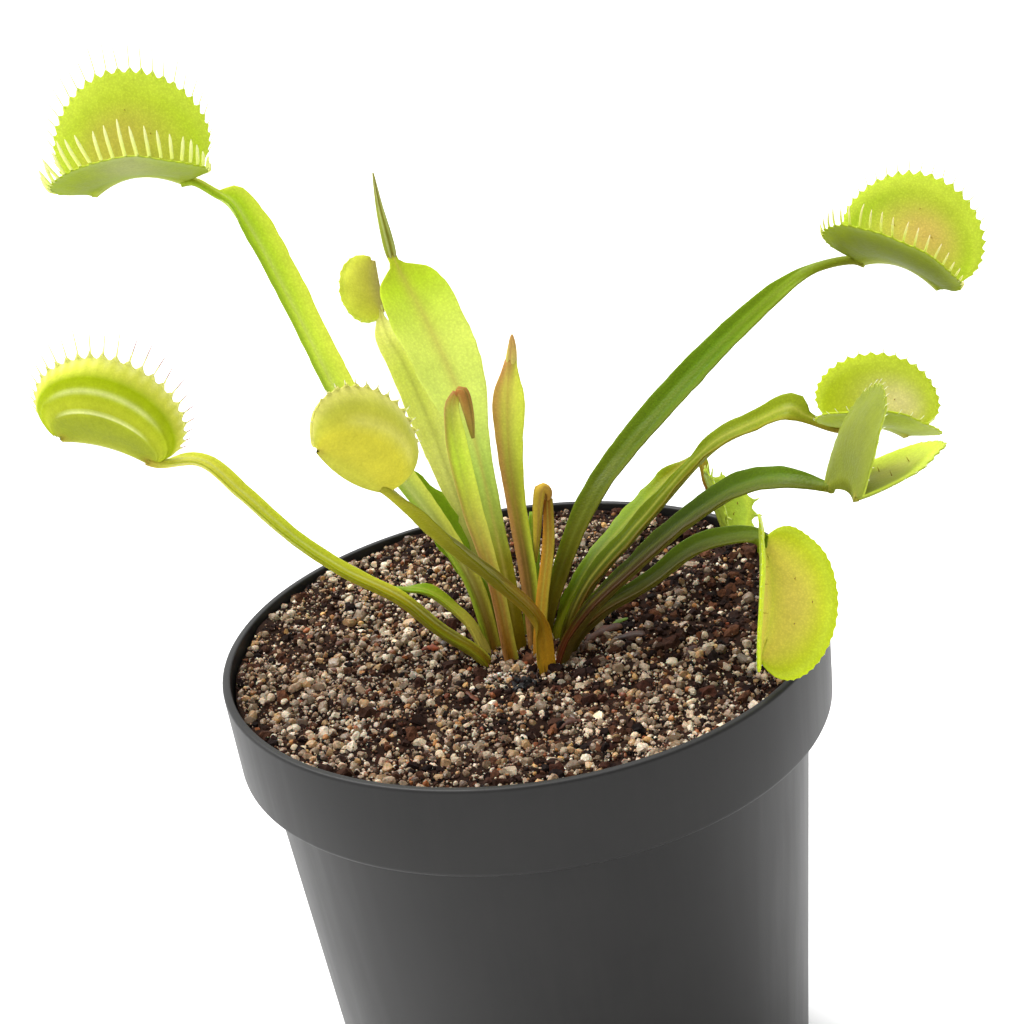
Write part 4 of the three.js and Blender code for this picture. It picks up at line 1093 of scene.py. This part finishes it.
        blade=[(0, "#491b0d"), (0.15, "#1d0f01"), (0.35, "#1a1e01"), (0.6, "#2f4101"),
               (0.85, "#526c02"), (1, "#5d700b")],
        right=(MAROON, 0.3, -0.1), left=("#586e11", 0.25, 0.3), rib_tint=("#7a7c2a", 0.2),
        trap=dict(tip=(-41.4, 51.4, 30.2), opening=(0.78, 0.05, 0.68), depth=12, gape=42, dome=1.2,
                  arch=1, waist=30, cilia=21, scallop=0.4, fringe=dict(long=0.7, stout=0.08),
                  inside=[(0, "#8c9426"), (0.3, "#a3ac30"), (0.7, "#b9c83c"), (1, "#c6d84a")],
                  centre=("#e3dc84", 0.5),
                  outside=[(0, "#717c27"), (0.5, "#7b8430"), (1, "#899533")], hinge_tint="#8a9030"),
    ),
    "leaf_right_drooping_trap": dict(
        slot="leaf_dark_green", base=(-11, 5.6), front=0.3,
        path=[(-14, 10.6, 5.2), (-14, 17.5, 9.3), (-12.4, 24.4, 13.7), (-18.7, 32.4, 15.9)],
        width=[2.7, 2.7, 3, 3.9, 4.4, 2.2, 1],
        rib=[1.5, 1.4, 1.3, 1.2, 1.1, 1.1],
        blade=[(0, "#463106"), (0.2, "#312b03"), (0.45, "#3d4803"), (0.7, "#495a04"), (1, "#6b830c")],
        right=(MAROON, 0.3, -0.1), left=("#4f6f0b", 0.3, 0.3), rib_tint=("#7a7c2a", 0.18),
        trap=dict(tip=(-37.8, 34.8, 4.9), opening=(0.62, -0.7, 0.3), depth=8.6, gape=95, dome=0.7,
                  arch=1.4, waist=36, cilia=27, scallop=0.2, fringe=dict(long=0.2, stout=0.07),
                  inside=[(0, "#dede48"), (0.3, "#ecde5a"), (0.75, "#d4df2c"), (1, "#d4e920")],
                  outside=[(0, "#a3b23c"), (1, "#b9cc3c")], centre=("#ead865", 0.75)),
    ),
    "leaf_back_right_toothed_trap": dict(
        slot="leaf_dark_green", base=(36, 5.6), ruffle=0.6, jag=0.12,
        path=[(38.7, 12.8, 6.5), (39.5, 21.3, 10.1), (37.2, 28.2, 13.6), (32.4, 32.2, 16),
              (26.8, 30.7, 14.1)],
        width=[2.4, 2.4, 3.5, 4.6, 4.2, 1.8, 1.2, 1],
        rib=[1.3, 1.4, 1.2, 1.1, 1, 1, 1],
        blade=[(0, "#6e690c"), (0.2, "#5f7806"), (0.6, "#85a00c"), (0.85, "#9c8d15"), (1, "#784c10")],
        left=("#9ab82c", 0.5, 0.3),
        trap=dict(tip=(13.5, 29.5, 9.3), opening=(0.5, -0.5, 0.1), depth=4.6, gape=90, dome=0.5,
                  waist=25, cilia=9, scallop=0.8, lobe_steps=54,
                  fringe=dict(long=1.3, stout=0.28, tints=("#b4cc44", "#d3e080")),
                  inside=[(0, "#a3b834"), (1, "#b3cc3c")], outside=[(0, "#8ea02c"), (1, "#a3b83a")]),
    ),
    "leaf_small_low": dict(
        base=(166, 5.6), fold=30, jag=0.14, jag_pitch=0.8, ruffle=0.25,
        path=[(158.6, 7.1, 3.3), (157.1, 9.6, 6), (157.8, 12.9, 8.4), (159.8, 17, 9)],
        width=[2.1, 2.1, 2, 2.2, 2.4, 0.5],
        rib=[1.2, 1.3, 1.1, 1, 0.9, 0.8],
        blade=[(0, "#c9bd56"), (0.3, "#c7bc4a"), (0.5, "#9ea926"), (0.75, "#809d16"), (1, "#7c9a16")],
    ),
    "leaf_short_toothed": dict(
        slot="leaf_dark_green", base=(125, 5.6), fold=10, jag=0.2, jag_pitch=0.9, ruffle=0.3,
        path=[(125.1, 9.1, 6.7), (125.4, 13.9, 12.4), (127, 17.1, 17.7), (129.8, 19.5, 22)],
        width=[2.2, 2.2, 2.6, 4.8, 5, 1.6],
        rib=[1.2, 1.3, 1.1, 1, 0.9, 0.8],
        blade=[(0, "#807f1c"), (0.3, "#769116"), (0.7, "#88aa1c"), (1, "#91b121")],
    ),
    "leaf_small_back": dict(
        base=(80, 5.6), fold=26,
        path=[(77, 8, 4.6), (76, 11.4, 9), (76, 14.6, 13.4)],
        width=[2, 2, 2.3, 2.6, 0.8],
        rib=[1.2, 1.2, 1, 0.9, 0.8],
        blade=[(0, "#8f8c28"), (0.4, "#7c9a1c"), (1, "#86a824")],
    ),
}


def leaf(name, row):
    shape = Shape()
    bearing = math.radians(row["path"][-1][0])
    facing = unit(np.array([-BLADE_TILT * math.cos(bearing),
                            -BLADE_TILT * math.sin(bearing) - row["front"], 1.0]))
    path = [*rooted(row["base"]), *(at_crown(p) for p in row["path"])]
    if "trap" in row:
        start = path[-1]
        trap(shape, COMMON_TRAP | row["trap"], start, row["seed"])
        ahead = unit(at_crown(row["trap"]["tip"]) - start)
        path.append(start + ahead * NECK_SINK)
    blade(shape, row, path, facing)
    if "bud" in row:
        bud(shape, COMMON_BUD | row["bud"], facing)
    shape.tint = [tint * LEAF_SHADE for tint in shape.tint]
    piece = mesh_object(name + "_fine", shape, leaf_materials)
    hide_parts(name)


# Pot


def body_radius(z):
    return RIM_RADIUS - BAND_DRAFT - BAND_STEP - TAPER * (BAND_UNDER - z)


def band_radius(z):
    return RIM_RADIUS - BAND_DRAFT * (POT_HEIGHT - z) / BAND_HEIGHT


def rounded(corners):
    """An outline with its corners rounded: each is (radius, z, rounding), with 0 at both ends."""
    outline = []
    for k, (r, z, size) in enumerate(corners):
        here = np.array([r, z])
        if size == 0:
            outline.append(here)
            continue
        before, after = np.array(corners[k - 1][:2]), np.array(corners[k + 1][:2])
        a = here + unit(before - here) * size
        b = here + unit(after - here) * size
        for w in np.linspace(0, 1, CORNER_STEPS):
            outline.append((1 - w) ** 2 * a + 2 * w * (1 - w) * here + w**2 * b)
    return np.array(outline)


def pot_outline():
    """The section of the pot, from the middle of its underside round to the middle of its floor."""
    return rounded([
        (0.0, 0.0, 0),
        (body_radius(0), 0.0, FOOT_ROUND),
        (body_radius(BAND_UNDER), BAND_UNDER, SHOULDER_ROUND),
        (band_radius(BAND_UNDER), BAND_UNDER, SKIRT_ROUND),
        (band_radius(POT_HEIGHT), POT_HEIGHT, RIM_ROUND[0]),
        (RIM_RADIUS - WALL, POT_HEIGHT, RIM_ROUND[1]),
        (band_radius(LEDGE) - WALL, LEDGE, LEDGE_ROUND[0]),
        (body_radius(LEDGE) - WALL, LEDGE, LEDGE_ROUND[1]),
        (body_radius(FLOOR) - WALL, FLOOR, INNER_ROUND),
        (0.0, FLOOR, 0),
    ])


def pot_material():
    nodes = Nodes("pot_plastic")
    cloud = nodes.noise(scale=60.0, detail=4.0)
    streaks = nodes.node("ShaderNodeMapping", Vector=nodes.spot())
    streaks.inputs["Scale"].default_value = (420.0, 420.0, 14.0)
    streak = nodes.noise(scale=1.0, detail=3.0, vector=streaks.outputs["Vector"])
    grain = nodes.noise(scale=5200.0, detail=2.0)
    specks = nodes.noise(scale=1500.0, detail=4.0, roughness=0.7)
    dust = nodes.ramp(specks, 0.0, 0.3, 0.68, 0.82)
    dark = nodes.mixed(nodes.ramp(cloud, 0.0, 1.0), POT_DARK, POT_LIGHT)
    dark = nodes.mixed(nodes.ramp(streak, 0.0, 0.25, 0.45, 0.7), dark, POT_WORN)
    wear = nodes.add(streak, nodes.times(cloud, 0.5))
    nodes.set(Base_Color=nodes.mixed(dust, dark, POT_DUST), Specular_IOR_Level=0.22,
              Roughness=nodes.ramp(wear, 0.42, 0.5, 0.5, 1.0))
    nodes.bump(nodes.add(grain, nodes.times(streak, 0.5)), strength=0.16, distance=0.00005)
    return nodes.owner


def cut(piece, tools):
    """Cuts closed meshes out of a piece and removes them."""
    for tool in tools:
        modifier = piece.modifiers.new("cut", "BOOLEAN")
        modifier.object = tool
        modifier.operation = "DIFFERENCE"
        modifier.solver = "EXACT"
    graph = bpy.context.evaluated_depsgraph_get()
    made = bpy.data.meshes.new_from_object(piece.evaluated_get(graph))
    old = piece.data
    piece.modifiers.clear()
    piece.data = made
    bpy.data.meshes.remove(old)
    for tool in tools:
        bpy.data.objects.remove(tool)


def turned(name, outline, sides, materials, centre=(0, 0)):
    """A closed piece turned from an outline of radius and height."""
    shape = Shape()
    shape.tube(np.array([circle(r, z, sides, centre) for r, z in outline]), linear(POT_TINT), 0)
    return mesh_object(name, shape, materials)


def pot():
    piece = turned("pot_moulded", pot_outline()[1:-1], POT_SIDES, [pot_material()])
    hole = [(DRAIN_RADIUS, -FLOOR), (DRAIN_RADIUS, 2 * FLOOR)]
    tools = []
    for k in range(DRAIN_HOLES):
        turn = k / DRAIN_HOLES * math.tau
        centre = (DRAIN_CIRCLE * math.cos(turn), DRAIN_CIRCLE * math.sin(turn))
        tools.append(turned(f"drain_{k}", hole, DRAIN_SIDES, [], centre))
    cut(piece, tools)
    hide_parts("pot")


# Growing mix


def lumps(x, y):
    """Rounded lumps of mix about 12 mm apart, from 0 between them to 1 on top."""
    turn = math.tau / LUMP_PITCH
    right = x + LUMP_DRIFT * np.sin(y / LUMP_BEND)
    back = y + LUMP_DRIFT * np.sin(x / LUMP_BEND)
    return (1 + np.cos(turn * right) * np.cos(turn * back)) / 2


def mix_height(x, y):
    """The top of the mix: it dips to the front and rises to the wall, with lumps and finer clods."""
    r = np.hypot(x, y)
    (high, wide), (low, fine) = CLODS
    clods = high * noise(x / wide + 20, y / wide) + low * noise(x / fine, y / fine + 9)
    relief = LUMP_HEIGHT * lumps(x, y) + clods * (1 - CLODS_WORN * smooth(*NEAR_WALL, r))
    return (CROWN[2] - MIX_SINK + MIX_TILT * (y - CROWN[1]) + MIX_RISE * (r / RIM_RADIUS) ** 2
            + relief * smooth(*EVEN_CROWN, np.hypot(x, y - CROWN[1])))


def mix_radius(z):
    return band_radius(z) - WALL - CLEARANCE


def mix_body():
    levels = [(body_radius(FLOOR) - WALL - CLEARANCE, FLOOR + CLEARANCE),
              (body_radius(LEDGE) - WALL - CLEARANCE, LEDGE),
              (mix_radius(LEDGE), LEDGE + MIX_CHAMFER)]
    rings = [circle(r, z, MIX_SIDES) for r, z in levels]
    top = mix_radius(CROWN[2])
    for r in np.linspace(top, MIX_MIDDLE, int(top / MIX_STEP)):
        ring = circle(r, 0.0, MIX_SIDES)
        x, y = ring[:, 0], ring[:, 1]
        rough = PEAT_ROUGH * noise(x / PEAT_PITCH, y / PEAT_PITCH + 40) - PEAT_ROUGH / 2
        ring[:, 2] = mix_height(x, y) + rough
        rings.append(ring)
    shape = Shape()
    shape.tube(np.array(rings), linear(PEAT_BASE) * MIX_SHADE, 0)
    piece = mesh_object("mix_peat", shape, [grain_material("peat", **PEAT_LOOK)])
    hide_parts("growing_mix")


def ball(level):
    """The points and faces of a ball made of triangles."""
    mesh = bpy.data.meshes.new("ball")
    made = bmesh.new()
    bmesh.ops.create_icosphere(made, subdivisions=level, radius=1.0)
    made.to_mesh(mesh)
    made.free()
    points = np.array([v.co for v in mesh.vertices])
    faces = [tuple(p.vertices) for p in mesh.polygons]
    bpy.data.meshes.remove(mesh)
    return points, faces


def grains(name, places, sizes, tints, material, level=2, planes=4, squash=(0.7, 1.25), lumpy=0.0):
    """Angular grains: each a small ball with flats cut by random planes, turned any way."""
    points, faces = ball(level)
    shape = Shape()
    for place, size, tint in zip(places, sizes, tints):
        form = points * rng.uniform(*squash, 3)
        if lumpy:
            form = form * (1 + lumpy * rng.uniform(-1, 1, (len(form), 1)))
        for _ in range(planes):
            direction = unit(rng.normal(size=3))
            over = np.clip(form @ direction - rng.uniform(*FLAT_AT), 0, None)
            form = form - over[:, None] * direction
        turn = np.linalg.qr(rng.normal(size=(3, 3)))[0]
        if np.linalg.det(turn) < 0:
            turn = -turn
        shape.add(form @ turn * size / 2 + place, faces, tint, 0)
    piece = mesh_object(name, shape, [material], soften=False)


def on_mix(x, y, sink):
    return np.stack([x, y, mix_height(x, y) - sink], axis=1)


def scatter(pitch, keep, sink):
    """Random places on the mix, one a cell of a grid, with more or fewer kept where it is sandy."""
    reach = mix_radius(CROWN[2]) - MIX_MARGIN
    span = np.arange(-reach, reach, pitch)
    x, y = np.meshgrid(span, span)
    x = (x + rng.uniform(0, pitch, x.shape)).ravel()
    y = (y + rng.uniform(0, pitch, y.shape)).ravel()
    chosen = (np.hypot(x, y) < reach) & (rng.uniform(size=x.shape) < keep[0] + keep[1] * sandy(x, y))
    x, y = x[chosen], y[chosen]
    return on_mix(x, y, sink + rng.uniform(*SETTLING, x.shape))


def heap(middle, spread, count, sink):
    """Places crowded round a point of the mix."""
    x, y = (middle[k] + spread * rng.normal(size=count) for k in (0, 1))
    near = bell(np.hypot(x - middle[0], y - middle[1]), 0, spread)
    return on_mix(x, y, sink - HEAP_HEIGHT * near)


def shades(count, colours, spread):
    """A colour for each grain: one of the list, a little darker or lighter."""
    table = np.array([linear(c) for c in colours])
    chosen = table[rng.integers(0, len(table), count)]
    return MIX_SHADE * chosen * (1 + spread * rng.normal(size=(count, 1))).clip(*SHADE_LIMITS)


def sandy(x, y):
    """How much of the mix is sand, from 0 to 1: less of it to the right of the crown."""
    (much, wide), (little, fine) = SAND_PATCHES
    patches = (SAND_SHARE + much * noise(x / wide + 3, y / wide + 17)
               + little * noise(x / fine, y / fine + 5))
    loss = SAND_LOSS * smooth(*SAND_LOSS_X, x) * smooth(*SAND_LOSS_Y, y)
    return np.clip(SAND_GAIN * patches - loss + SAND_MORE, 0, 1)


def drawn_sizes(count, size):
    """Sizes of grains: even between two limits, or spread round a median within them."""
    if len(size) == 2:
        return rng.uniform(*size, count)
    median, spread, least, most = size
    return rng.lognormal(math.log(median), spread, count).clip(least, most)


def strewn(row):
    """The places, sizes and colours of a layer's grains, all over the mix or in heaps."""
    if "heaps" in row:
        places = np.concatenate([heap(*place, row["sink"]) for place in row["heaps"]])
    else:
        places = scatter(row["pitch"], row["keep"], row["sink"])
    sizes = drawn_sizes(len(places), row["size"])
    return places, sizes, shades(len(places), row["colours"], row["spread"])


def mix_quartz():
    """The quartz grains, in two pieces: the smaller ones have fewer faces."""
    places, sizes, tints = strewn(QUARTZ_LAYER)
    look = grain_material("quartz", **QUARTZ_LAYER["look"])
    coarse = sizes > COARSE_GRAIN
    grains("mix_quartz", places[coarse], sizes[coarse], tints[coarse], look, planes=9,
           squash=(0.62, 1.3), lumpy=0.14)
    grains("mix_small_quartz", places[~coarse], sizes[~coarse], tints[~coarse], look, level=1)


def mix_layer(name, row):
    """One kind of grain, as one piece."""
    grains(row.get("piece", "mix_" + name), *strewn(row), grain_material(name, **row["look"]),
           **row["shape"])


def mix_scraps():
    """Dead leaf, a thread and a green shoot that lie on the mix."""
    shape = Shape()
    for x, y, bearing, length, wide, bend, colour in SCRAPS:
        angle = math.radians(bearing)
        step = np.linspace(-0.5, 0.5, SCRAP_STEPS)
        curl = bend * (0.25 - step**2) * length
        east = x + length * step * math.cos(angle) - curl * math.sin(angle)
        north = y + length * step * math.sin(angle) + curl * math.cos(angle)
        lift = SCRAP_LIFT + SCRAP_ARCH * bend * length * (0.25 - step**2)
        points = np.stack([east, north, mix_height(east, north) + lift], axis=1)
        radii = wide / 2 * np.sqrt(np.clip(1.02 - (2 * step) ** 2, 0.02, 1))
        radii = radii * (1 + SCRAP_RAGGED * rng.uniform(-1, 1, SCRAP_STEPS))
        mottle = (1 + SCRAP_MOTTLE * rng.normal(size=(SCRAP_STEPS, 1))).clip(0.5, 1.5)
        across = np.array([-math.sin(angle), math.cos(angle), 0.3])
        shape.tube(spine(points, radii, SCRAP_FLAT, across),
                   ringed(MIX_SHADE * linear(colour) * mottle), 0)
    piece = mesh_object("mix_scraps", shape, [grain_material("dead_leaf", **SCRAP_LOOK)])


# Rhizome: it is buried, so the modelled solid stays, with a finish of its own


def rhizome():
    nodes = Nodes("rhizome_flesh")
    blotches = nodes.noise(scale=500.0, detail=4.0)
    nodes.set(Base_Color=nodes.mixed(blotches, RHIZOME_PALE, RHIZOME_DARK), Roughness=0.6)
    nodes.bump(blotches, strength=0.4, distance=0.0003)
    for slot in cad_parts["rhizome"].material_slots:
        slot.material = nodes.owner


# Camera and stage


def camera():
    data = bpy.data.cameras.new("camera")
    data.lens, data.sensor_width = CAMERA_LENS, SENSOR
    data.clip_start, data.clip_end = CLIP_NEAR, CLIP_FAR
    right, up = Vector(CAMERA_RIGHT).normalized(), Vector(CAMERA_UP).normalized()
    back = right.cross(up)
    turn = Matrix((right, back.cross(right), back)).transposed()
    place = Vector([part * MM for part in CAMERA_PLACE])
    made = in_scene("camera", data)
    made.matrix_world = Matrix.Translation(place) @ turn.to_4x4()
    bpy.context.scene.camera = made
    bpy.context.scene.view_settings.view_transform = "Standard"


def floor():
    mesh = bpy.data.meshes.new("floor")
    corners = [(-1, -1), (1, -1), (1, 1), (-1, 1)]
    mesh.from_pydata([(x * STAGE_REACH, y * STAGE_REACH, 0) for x, y in corners], [], [(0, 1, 2, 3)])
    nodes = Nodes("floor_white")
    nodes.set(Base_Color=nodes.mixed(nodes.noise(scale=6.0, detail=2.0), *STAGE_WHITES), Roughness=0.9)
    mesh.materials.append(nodes.owner)
    in_scene("floor", mesh)


def sky():
    nodes = Nodes("studio", bpy.data.worlds, "Background")
    place = nodes.node("ShaderNodeTexCoord").outputs["Generated"]
    toward = nodes.vector_math("DOT_PRODUCT", place, Vector(SKY_TOWARD).normalized(), 1, "Value")
    side = nodes.ramp(toward, SKY_LOW, SKY_HIGH, SKY_EDGE, 1.0, "SMOOTHSTEP")
    height = nodes.node("ShaderNodeSeparateXYZ", Vector=place).outputs["Z"]
    horizon = nodes.math("COMPARE", height, 0.0, HORIZON)
    nodes.set(Color=(1.0, 1.0, 1.0, 1.0), Strength=nodes.math("MAXIMUM", side, horizon))
    bpy.context.scene.world = nodes.owner


def key_light():
    data = bpy.data.lights.new("key", "SUN")
    data.energy, data.angle = KEY_STRENGTH, math.radians(KEY_SOFTNESS)
    in_scene("key", data).rotation_euler = Vector(KEY_FROM).to_track_quat("Z", "Y").to_euler()


camera()
floor()
sky()
key_light()
pot()
mix_body()
mix_quartz()
for kind, layer in LAYERS.items():
    mix_layer(kind, layer)
mix_scraps()
rhizome()
for number, (title, leaf_row) in enumerate(LEAVES.items()):
    leaf(title, COMMON_LEAF | leaf_row | {"seed": SEED_STEP * number + 1})
